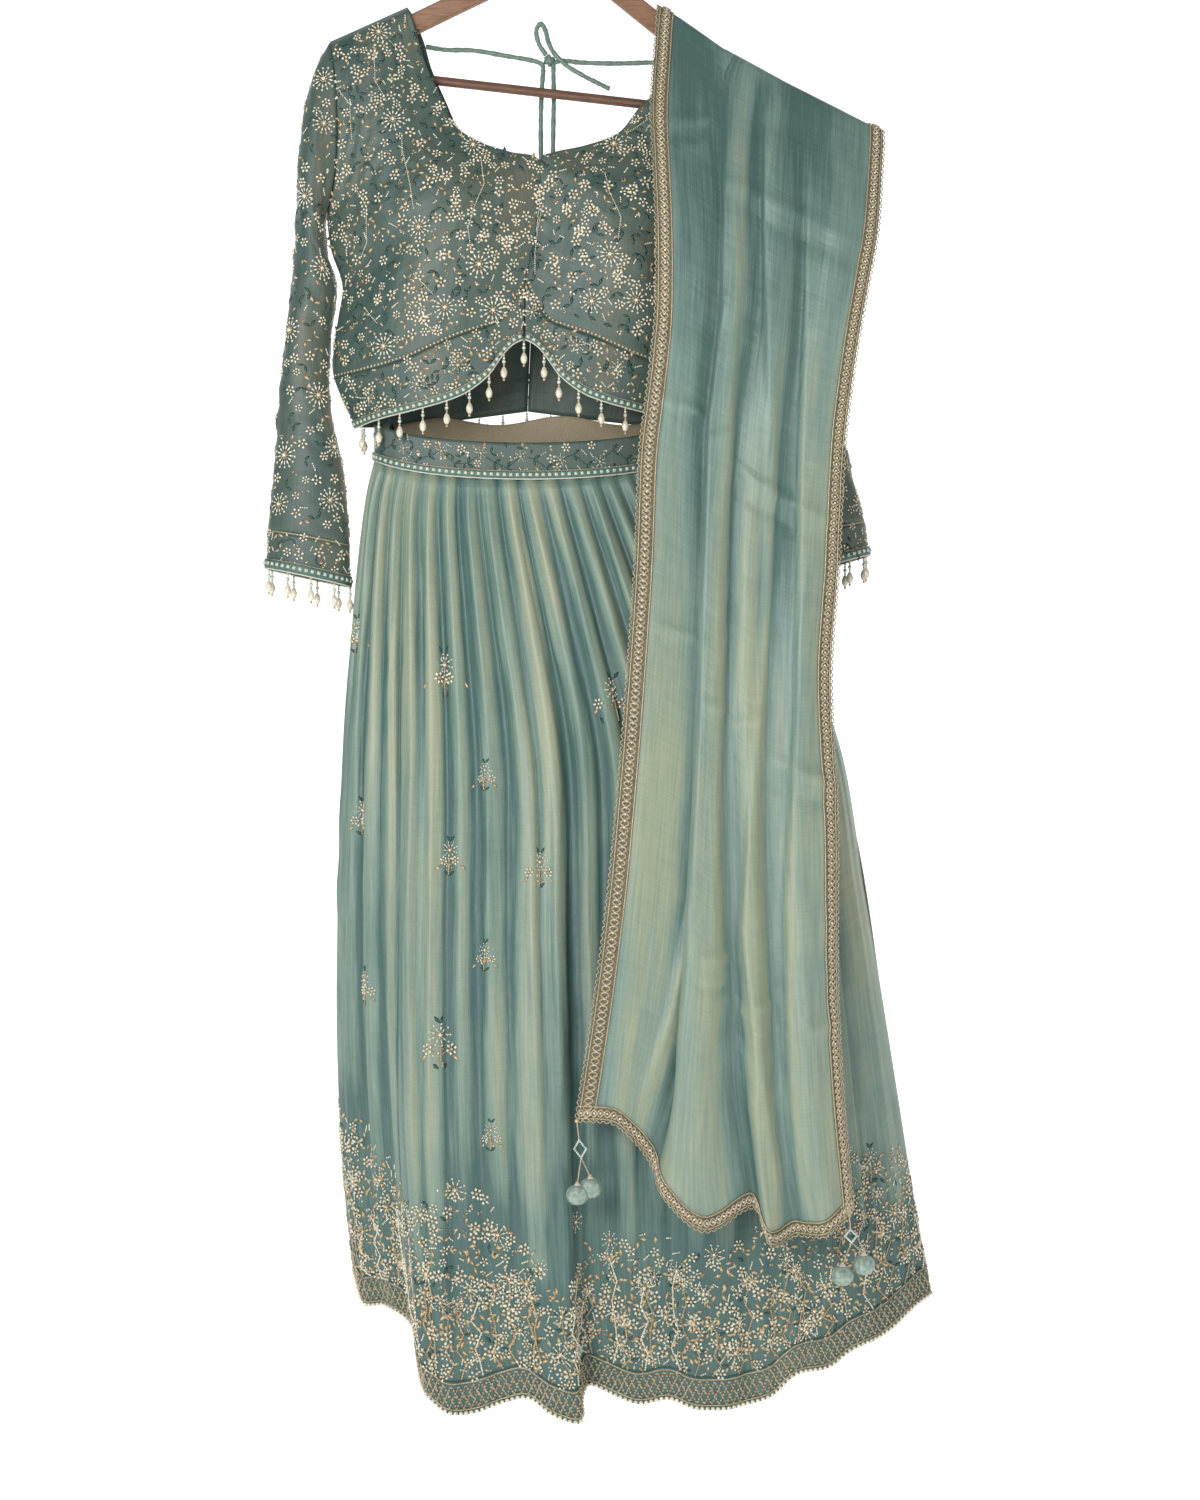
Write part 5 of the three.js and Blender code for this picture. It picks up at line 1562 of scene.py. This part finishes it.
def trim(cloth: Cloth, work: Beadwork, strands: Strands) -> None:
    """Square studs along the middle of a dark trim and a white cord below it."""
    tall = cloth.patch.down.max()
    border = Border(cloth.patch, "hem", tall)
    spots = border.places(6.8 * MM, tall * 0.52)
    for spot, way in zip(spots, np.gradient(spots, axis=0)):
        work.put(Bead.SQUARE, Finish.STUD, Vector(spot), Vector(way), (2.1 * MM, 2.1 * MM, 1.2 * MM))
    strands.add(border.line(-0.7 * MM, -0.6 * MM), 0.8 * MM, Finish.CORD, 6)
    strands.add(border.line(float(tall) + 0.3 * MM, -0.2 * MM), 0.45 * MM, Finish.BRAID)


def rounded(height: float) -> Relief:
    """A crown along the middle of a narrow trim."""
    return lambda patch: height * np.sin(math.pi * patch.share[1])


@dataclass
class Choli:
    """The blouse: panels, sleeves, trims, embroidery and drops."""

    cloths: dict[str, Cloth] = field(default_factory=dict)

    def sew(self) -> None:
        """Makes every panel and trim."""
        pulls = (puckers(0.7 * MM, 24 * MM, 3),)
        for side in ("left", "right"):
            sleeve = (puckers(0.7 * MM, 26 * MM, 21), cross_pulls(1.6 * MM, 55 * MM, 22))
            panels = (
                (f"choli_front_{side}", 12, Face.FRONT, (56, 64), pulls),
                (f"choli_band_{side}", 4, Face.FRONT, (64, 16), ()),
                (f"choli_back_{side}", 13, Face.BACK, (34, 60), pulls),
                (f"sleeve_{side}", 10, Face.ROUND, (44, 80), sleeve),
                (f"cuff_{side}", 3, Face.ROUND, (48, 8), ()),
            )
            for k, (node, rows, face, size, reliefs) in enumerate(panels):
                shot = shot_and_fold_shade(0.42, 0.5, 55 * MM, 31 + k)
                cloth = Cloth(node, rows, face, size, Finish.CHOLI, reliefs=reliefs, shot=shot)
                self.cloths[node] = cloth.build()
            for node, face in ((f"choli_hem_trim_{side}", Face.FRONT), (f"cuff_trim_{side}", Face.ROUND)):
                self.cloths[node] = Cloth(node, 2, face, (72, 5), Finish.PIPING, 1.4 * MM,
                                          (rounded(0.5 * MM),)).build()
        for node, cloth in self.cloths.items():
            hung = ["hanger_arm_left" if node.endswith("left") else "hanger_arm_right"]
            cloth.declare("hung", hung if "front" in node or "back" in node else ())

    def decorate(self) -> None:
        """Sews on the flowers, beads, studs and drops."""
        ground = Ground(list(self.cloths.values()))
        body, sleeves, trims = (Beadwork(ground, seed) for seed in (1, 2, 3))
        strands = Strands()
        large = self.flowers(ground, body)
        self.fill(body, sleeves, large)
        for side in ("left", "right"):
            for node in (f"choli_hem_trim_{side}", f"cuff_trim_{side}"):
                trim(self.cloths[node], trims, strands)
            front = Border(self.cloths[f"choli_front_{side}"].patch, "hem", 6 * MM)
            for spot in front.places(4.4 * MM, 2.5 * MM):
                trims.put(Bead.CUP, Finish.GOLD, Vector(spot), RIGHT, (1.5 * MM, 1.5 * MM, 0.8 * MM))
            for node in (f"choli_front_{side}", f"choli_back_{side}"):
                neck = Border(self.cloths[node].patch, "top", 3 * MM)
                strands.add(neck.line(0.6 * MM, -0.2 * MM), 1.1 * MM, Finish.PIPING, 6)
            cuff = Border(self.cloths[f"cuff_{side}"].patch, "top", 4 * MM)
            strands.add(cuff.line(0.4 * MM, 0.2 * MM), 0.7 * MM, Finish.BRAID)
        body.build("choli_body_beads", Finish.BEAD)
        sleeves.build("choli_sleeve_beads", Finish.BEAD)
        trims.build("choli_trim_beads", Finish.STUD)
        strands.build("choli_cords", Finish.CORD)
        self.hang_drops(ground)

    def flowers(self, ground: Ground, work: Beadwork) -> list[Vector]:
        """The flowers and bead lines that the photograph shows; returns where the large ones are."""
        large = [spot for spot in (ground.seen(pixel) for pixel in SUNBURSTS) if spot]
        for spot in large:
            work.sunburst(spot, work.rng.uniform(12.5, 14.5) * MM)
        for spot in (ground.seen(pixel) for pixel in BAND_FLOWERS):
            if spot:
                work.sunburst(spot, 8.5 * MM, 8)
                work.leaf_pair(spot + Vector((10 * MM, 0, 0)), Vector((1, 0, 0.4)), 9 * MM)
                work.leaf_pair(spot - Vector((10 * MM, 0, 0)), Vector((-1, 0, 0.4)), 9 * MM)
        for spot in (ground.seen(pixel) for pixel in BLOSSOMS):
            if spot:
                work.blossom(spot, work.rng.uniform(5.6, 7.2) * MM, work.rng.choice((5, 6, 7)))
        for line in BEAD_LINES:
            spots = [spot for spot in (ground.seen(pixel) for pixel in line) if spot]
            work.stem(spots)
            for start, end in zip(spots[:-1], spots[1:]):
                work.leaf_pair(start.lerp(end, 0.5), end - start, 7 * MM)
        return large

    def fill(self, body: Beadwork, sleeves: Beadwork, large: list[Vector]) -> None:
        """Fills the panels between the large flowers."""
        for node, cloth in self.cloths.items():
            if "trim" in node:
                continue
            on_sleeve = node.startswith(("sleeve", "cuff"))
            work = sleeves if on_sleeve else body
            big = []
            if node.startswith(("sleeve", "choli_back")):
                wide = 48 * MM if on_sleeve else 70 * MM
                taken = large if on_sleeve else []
                big = spread(cloth, wide, work.rng, taken, 500, lambda u, v, p: 0.03 < v < 0.97)
                for spot in big:
                    work.sunburst(spot, 12 * MM, 12)
            clear = large + big
            gap = {"choli_back": 21 * MM, "sleeve": 10.6 * MM}.get(node.rsplit("_", 1)[0], 8.3 * MM)

            def free(u: float, v: float, point: Vector, clear: list[Vector] = clear) -> bool:
                return 0.03 < v < 0.97 and all((point - other).length > 15.5 * MM for other in clear)

            filler(work, spread(cloth, gap, work.rng, [], 5200, free), 0.4, 1.2)

    def hang_drops(self, ground: Ground) -> None:
        """Hangs a pearl drop at each place along the hem and the cuffs."""
        nodes = ["drops_front", "drops_back", "drops_cuff_left", "drops_cuff_right"]
        work, strands = Beadwork(ground, 4), Strands()
        for node in nodes:
            for tip in drop_tips(node):
                high = np.array(tip) + (0, 0, Drop.LONG)
                Drop().hang(work, high)
                thread = np.linspace(high + (0, 0, 2 * MM), high - (0, 0, 15 * MM), 6)
                strands.add(thread, 0.45 * MM, Finish.CORD)
        work.build("choli_drop_beads", Finish.PEARL)
        strands.build("choli_drop_threads", Finish.PEARL, nodes)


@dataclass
class Skirt:
    """The pleated skirt, its waistband and its embroidered hem."""

    cloths: dict[str, Cloth] = field(default_factory=dict)

    BANDS = (
        (-0.27, -0.4), (-0.235, -0.1), (-0.2, 0.2), (-0.145, 0.15), (-0.11, -0.3), (-0.07, 0.02),
        (-0.03, 0.2), (0.0, -0.28), (0.05, -0.1), (0.12, 0.05), (0.24, -0.2), (0.3, 0.1),
    )
    LEVELS = ((-1.6, -0.15), (-1.1, 0.0), (-0.75, 0.1))
    HEM = ((0.0, -1.1), (0.1, -0.95), (0.17, -0.4), (0.26, 0.0))
    GRAIN = (2.1 * MM, 1.45 * MM, 1.2 * MM)
    BORDER = 36 * MM

    def sew(self) -> None:
        """Makes the skirt, the waistband and their trims."""
        walls = (("front", 8, Face.FRONT, (240, 72)), ("back", 7, Face.BACK, (144, 52)))
        for side, rows, face, size in walls:
            reliefs = (long_folds(1.0 * MM, 15 * MM, 350 * MM, 41),
                       long_folds(1.6 * MM, 42 * MM, 500 * MM, 43, 0.2), cross_pulls(1.4 * MM, 80 * MM, 45))
            # The 0.5 paints shade into the hollows of the pleats and light onto their ridges.
            shot = shot_and_fold_shade(0.42, 0.35, 95 * MM, 47, self.BANDS, 0.5, self.LEVELS, self.HEM)
            cloth = Cloth(f"skirt_{side}", rows, face, size, Finish.SKIRT, reliefs=reliefs, shot=shot)
            self.cloths[cloth.node] = cloth.build()
            cloth.declare("gathered", [f"waistband_{side}_cloth"])
        for side, face in (("front", Face.FRONT), ("back", Face.BACK)):
            shot = shot_and_fold_shade(0.4, 0.4, 60 * MM, 51)
            band = Cloth(f"waistband_{side}", 3, face, (80, 10), Finish.CHOLI, shot=shot)
            edge = Cloth(f"waistband_trim_{side}", 2, face, (90, 5), Finish.PIPING, 1.4 * MM,
                         (rounded(0.5 * MM),))
            for cloth in (band, edge):
                self.cloths[cloth.node] = cloth.build()
                cloth.declare("hung", ["loop_left", "loop_right"])
        lining = Cloth("waistband_lining", 3, Face.FRONT, (64, 10), Finish.LINING, 0.8 * MM)
        self.cloths[lining.node] = lining.build()
        lining.declare("hung", ["waistband_back_cloth"])

    def decorate(self) -> None:
        """Sews on the hem's band, the vines above it, the scattered flowers and the waistband's vine."""
        ground = Ground(list(self.cloths.values()))
        waist, strands = Beadwork(ground, 11), Strands()
        for side in ("front", "back"):
            trim(self.cloths[f"waistband_trim_{side}"], waist, strands)
            self.vine(self.cloths[f"waistband_{side}"], waist)
        waist.build("waistband_beads", Finish.STUD)
        for k, side in enumerate(("front", "back")):
            cloth, work = self.cloths[f"skirt_{side}"], Beadwork(ground, 12 + k)
            border = Border(cloth.patch, "hem", 40 * MM, 2.5 * MM)
            self.hem_band(border, work, strands)
            if side == "front":
                self.shown(ground, work)
            else:
                for spot in spread(cloth, 120 * MM, work.rng, [], 400, lambda u, v, p: 0.08 < v < 0.84):
                    self.butti(work, spot, work.rng.choice((0.8, 1.0, 1.3)))
            self.climb(cloth, work)
            work.build(f"skirt_{side}_beads", Finish.BEAD)
        strands.build("skirt_cords", Finish.BRAID)

    def vine(self, cloth: Cloth, work: Beadwork) -> None:
        """A waving stem with flowers and leaves along the waistband."""
        count = 26
        spots = [cloth.at((k + 0.5) / count, 0.5 + 0.2 * math.sin(1.9 * k))[0] for k in range(count)]
        work.stem(spots, Finish.LEAF, 0.8 * MM)
        for k, spot in enumerate(spots):
            if k % 3 == 0:
                work.sunburst(spot, 6.5 * MM, 7)
            else:
                work.leaf_pair(spot, spots[min(k + 1, count - 1)] - spots[k - 1 if k else 0], 8 * MM)
        filler(work, spread(cloth, 8 * MM, work.rng, spots, 700, lambda u, v, p: 0.12 < v < 0.88))

    def hem_band(self, border: Border, work: Beadwork, strands: Strands) -> None:
        """A lattice of small beads between two lines, over a row of round beads."""
        for spot in border.places(5.5 * MM, 1.6 * MM):
            work.put(Bead.DOME, Finish.BEAD, Vector(spot), RIGHT, (2.4 * MM, 2.4 * MM, 2.2 * MM), 0.3)
        low, high, period = 6.5 * MM, 29 * MM, 23 * MM
        along = np.arange(0, border.length, 1.5 * MM)
        for phase in (0, 1 / 3, 2 / 3):
            turn = (along / period + phase) % 1
            path = border.at(along, low + (high - low) * np.abs(2 * turn - 1))
            for spot, way in zip(path, np.gradient(path, axis=0)):
                work.put(Bead.GRAIN, Finish.BRAID, Vector(spot), Vector(way), self.GRAIN)
        for offset, finish, radius in ((5 * MM, Finish.BRAID, 0.9 * MM), (31 * MM, Finish.BRAID, 0.9 * MM),
                                       (33.5 * MM, Finish.LEAF, 0.7 * MM)):
            strands.add(border.line(offset, 0.4 * MM), radius, finish)
        for spot in border.places(period / 3, 18 * MM):
            work.put(Bead.CUP, Finish.PEACH, Vector(spot), RIGHT, (1.9 * MM, 1.9 * MM, 1 * MM))

    def butti(self, work: Beadwork, spot: Vector, size: float) -> None:
        """A flower with smaller ones at its sides, leaves and a stem of gold thread below."""
        work.sunburst(spot, 9.5 * MM * size, 9)
        foot = spot - Vector((0, 0, 27 * MM * size))
        work.stem([spot - Vector((0, 0, 9 * MM * size)), foot], Finish.GOLD, 1.2 * MM)
        for sign in (-1, 1):
            near = spot + Vector((sign * 9 * MM * size, 0, -11 * MM * size))
            work.blossom(near, 5.5 * MM * size)
            work.stem([near, spot - Vector((0, 0, 16 * MM * size))], Finish.GOLD)
            work.leaf(near - Vector((0, 0, 5 * MM)), Vector((sign, 0, -0.8)), 9 * MM * size, Finish.GOLD)
            work.leaf(foot, Vector((sign, 0, 0.7)), 9 * MM * size)
            work.leaf(spot + Vector((0, 0, 9 * MM * size)), Vector((sign, 0, 1.2)), 8 * MM * size)
        work.sequins(spot - Vector((0, 0, 14 * MM * size)), 7 * MM * size, 8)

    def shown(self, ground: Ground, work: Beadwork) -> None:
        """The flowers that the photograph shows on the front."""
        for pixel, size in BUTTIS:
            spot = ground.seen(pixel)
            if spot:
                self.butti(work, spot, size)
        for spot in (ground.seen(pixel) for pixel in HEM_FLOWERS):
            if spot:
                work.sunburst(spot, work.rng.uniform(9, 12) * MM, 9)

    def climb(self, cloth: Cloth, work: Beadwork) -> None:
        """Vines that climb from the hem's band and thin out upwards."""
        tall = cloth.patch.down.max()
        rng = work.rng

        def dense(u: float, v: float, point: Vector) -> bool:
            high = (1 - v) * tall - self.BORDER
            reach = (150 + 35 * math.sin(9 * u) + 25 * math.sin(23 * u + 1)) * MM
            return 0 < high < reach and rng.random() > (high / reach) ** 3

        near = 6.4 * MM if cloth.node == "skirt_front" else 10 * MM
        filler(work, spread(cloth, near, rng, [], 45000, dense), 0.9, 1.3)
        for k in range(44):
            u = (k + rng.random()) / 44
            rise = rng.uniform(45, 110) * MM / tall
            foot = 1 - self.BORDER / tall
            spots = [cloth.at(u + 0.006 * math.sin(2.6 * t + k), foot - rise * t / 5)[0] for t in range(6)]
            work.stem(spots, rng.choice((Finish.BRAID, Finish.BEAD, Finish.GOLD)), 1.3 * MM)
            for start, end in zip(spots[:-1], spots[1:]):
                work.leaf_pair(end, end - start, 9 * MM, Finish.GOLD if rng.random() < 0.7 else Finish.LEAF)
            work.sunburst(spots[-1], rng.uniform(7.5, 11) * MM, 9)


@dataclass
class Dupatta:
    """The scarf over the shoulder, with its lace and its tassels."""

    cloths: dict[str, Cloth] = field(default_factory=dict)

    SEAM = 0.3 * MM
    LEVELS = ((-1.4, 0.1), (-1.05, 0.28), (-0.7, 0.05), (-0.5, -0.2), (-0.15, -0.4))
    BANDS = (
        (0.04, -0.1), (0.09, 0.1), (0.135, -0.2), (0.18, 0.12), (0.23, -0.05), (0.29, 0.15), (0.33, -0.1),
    )

    def sew(self) -> None:
        """Makes both falls."""
        ripples = (long_folds(0.9 * MM, 34 * MM, 420 * MM, 61), cross_pulls(1.5 * MM, 70 * MM, 63))
        folds = [Crease(line, height * MM, half * MM) for line, height, half in DUPATTA_CREASES]
        folds += [Lap(line, height * MM, fade * MM) for line, height, fade in DUPATTA_LAPS]
        # The 0.45 paints shade into the hollows of the folds and light onto their ridges.
        shot = shot_and_fold_shade(0.45, 0.35, 110 * MM, 65, self.BANDS, 0.45, self.LEVELS)
        front = Cloth("dupatta_front", 19, Face.FRONT, (108, 240), Finish.DUPATTA, 0.9 * MM,
                      (*ripples, *folds), shot, -self.SEAM)
        # The 0.45 paints shade into the hollows of the folds and light onto their ridges.
        shot = shot_and_fold_shade(0.45, 0.35, 110 * MM, 67, (), 0.45, self.LEVELS)
        back = Cloth("dupatta_back", 10, Face.BACK, (60, 72), Finish.DUPATTA, 0.9 * MM,
                     ripples, shot, self.SEAM)
        for cloth in (front, back):
            self.cloths[cloth.node] = cloth.build()

    def lace(self, cloth: Cloth, edge: str, wide: float, nodes: Sequence[str]) -> list[bpy.types.Object]:
        """A braid with two interlaced strands, edge lines and small scallops along one edge."""
        border = Border(cloth.patch, edge, wide + 3 * MM, 2 * MM)
        name = f"{cloth.node}_{edge}"
        ground = border.ribbon(f"{name}_braid", wide, 0.5 * MM, 0.9 * MM, Finish.BRAID_GROUND, 0.7 * MM)
        strands = Strands()
        middle, swing = wide * 0.52, wide * 0.25
        for phase in (0, math.pi):
            strands.add(border.wave(middle, swing, 13.5 * MM, phase, 1.7 * MM), 1.15 * MM, Finish.BRAID)
        strands.add(border.line(wide - 0.8 * MM, 1.2 * MM), 0.9 * MM, Finish.BRAID)
        strands.add(border.line(2.2 * MM, 1.3 * MM), 0.8 * MM, Finish.BRAID)
        strands.add(border.scallops(1.2 * MM, 3.4 * MM, 6.8 * MM, 0.7 * MM), 0.7 * MM, Finish.BRAID)
        made = strands.build(f"{name}_strands", Finish.BRAID, nodes)
        beads = Beadwork(Ground([cloth]), 70)
        for spot in border.places(6.75 * MM, middle):
            beads.put(Bead.DOME, Finish.PEARL, Vector(spot), UP, (1.5 * MM, 1.5 * MM, 1.3 * MM), 1.2)
        return [ground, made, beads.build(f"{name}_pearls", Finish.BRAID)]

    def decorate(self) -> None:
        front, back = self.cloths["dupatta_front"], self.cloths["dupatta_back"]
        pieces = []
        for edge, wide in (("left", 18 * MM), ("right", 16 * MM), ("hem", 15 * MM)):
            pieces += self.lace(front, edge, wide, [f"dupatta_lace_{edge}"])
        rear = self.lace(back, "hem", 15 * MM, ["dupatta_lace_back"])
        for edge in ("left", "right"):
            rear += self.lace(back, edge, 16 * MM, [])
        ground = Ground([front])
        for tassel in TASSELS:
            work, strands = Beadwork(ground, 80), Strands()
            pieces += tassel.build(work, strands)
            pieces.append(work.build(f"{tassel.node}_beads", Finish.PEARL))
            pieces.append(strands.build(f"{tassel.node}_cord", Finish.BRAID, [tassel.node]))
        front.declare("draped", ["choli_front_right_cloth"], pieces)
        back.declare("draped", ["choli_back_right_cloth"], rear)


def make_knot() -> None:
    """The wrapped knot of the neck tie."""
    centre, strands = np.array((-0.029, 0.02, -0.2035)), Strands()
    turn = np.linspace(0, 2 * math.pi, 25)
    for tilt, radius in ((0.3, 4.3 * MM), (-0.5, 4.0 * MM), (1.4, 4.2 * MM)):
        ring = np.stack([np.cos(turn), 0.8 * np.sin(turn), 0.35 * np.sin(turn + tilt)], axis=-1) * radius
        level, steep = math.cos(tilt), math.sin(tilt)
        spin = np.array([[level, 0, -steep], [0, 1, 0], [steep, 0, level]])
        strands.add(centre + ring @ spin.T, 2.5 * MM, Finish.DORI, 8)
    strands.build("dori_knot_silk", Finish.DORI, ["dori_knot"])


def dress_nodes() -> None:
    """Gives the CAD pieces that stay their own finishes."""
    looks = {"hanger_hook": Finish.STEEL, "hanger_bar": Finish.BAR, "loop_left": Finish.PLAIN,
             "loop_right": Finish.PLAIN}
    for name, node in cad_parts.items():
        if not node.hide_render:
            node.data.materials.clear()
            node.data.materials.append(looks.get(name, Finish.WOOD).material)


def main() -> None:
    """Builds the dressed part."""
    logging.basicConfig(level=logging.INFO, format="%(message)s")
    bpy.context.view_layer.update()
    PHOTO.make()
    for tie in TIES:
        tie.make()
    Studio().make()
    for garment in (Choli(), Skirt(), Dupatta()):
        garment.sew()
        garment.decorate()
    make_knot()
    dress_nodes()


if __name__ == "__main__":
    main()
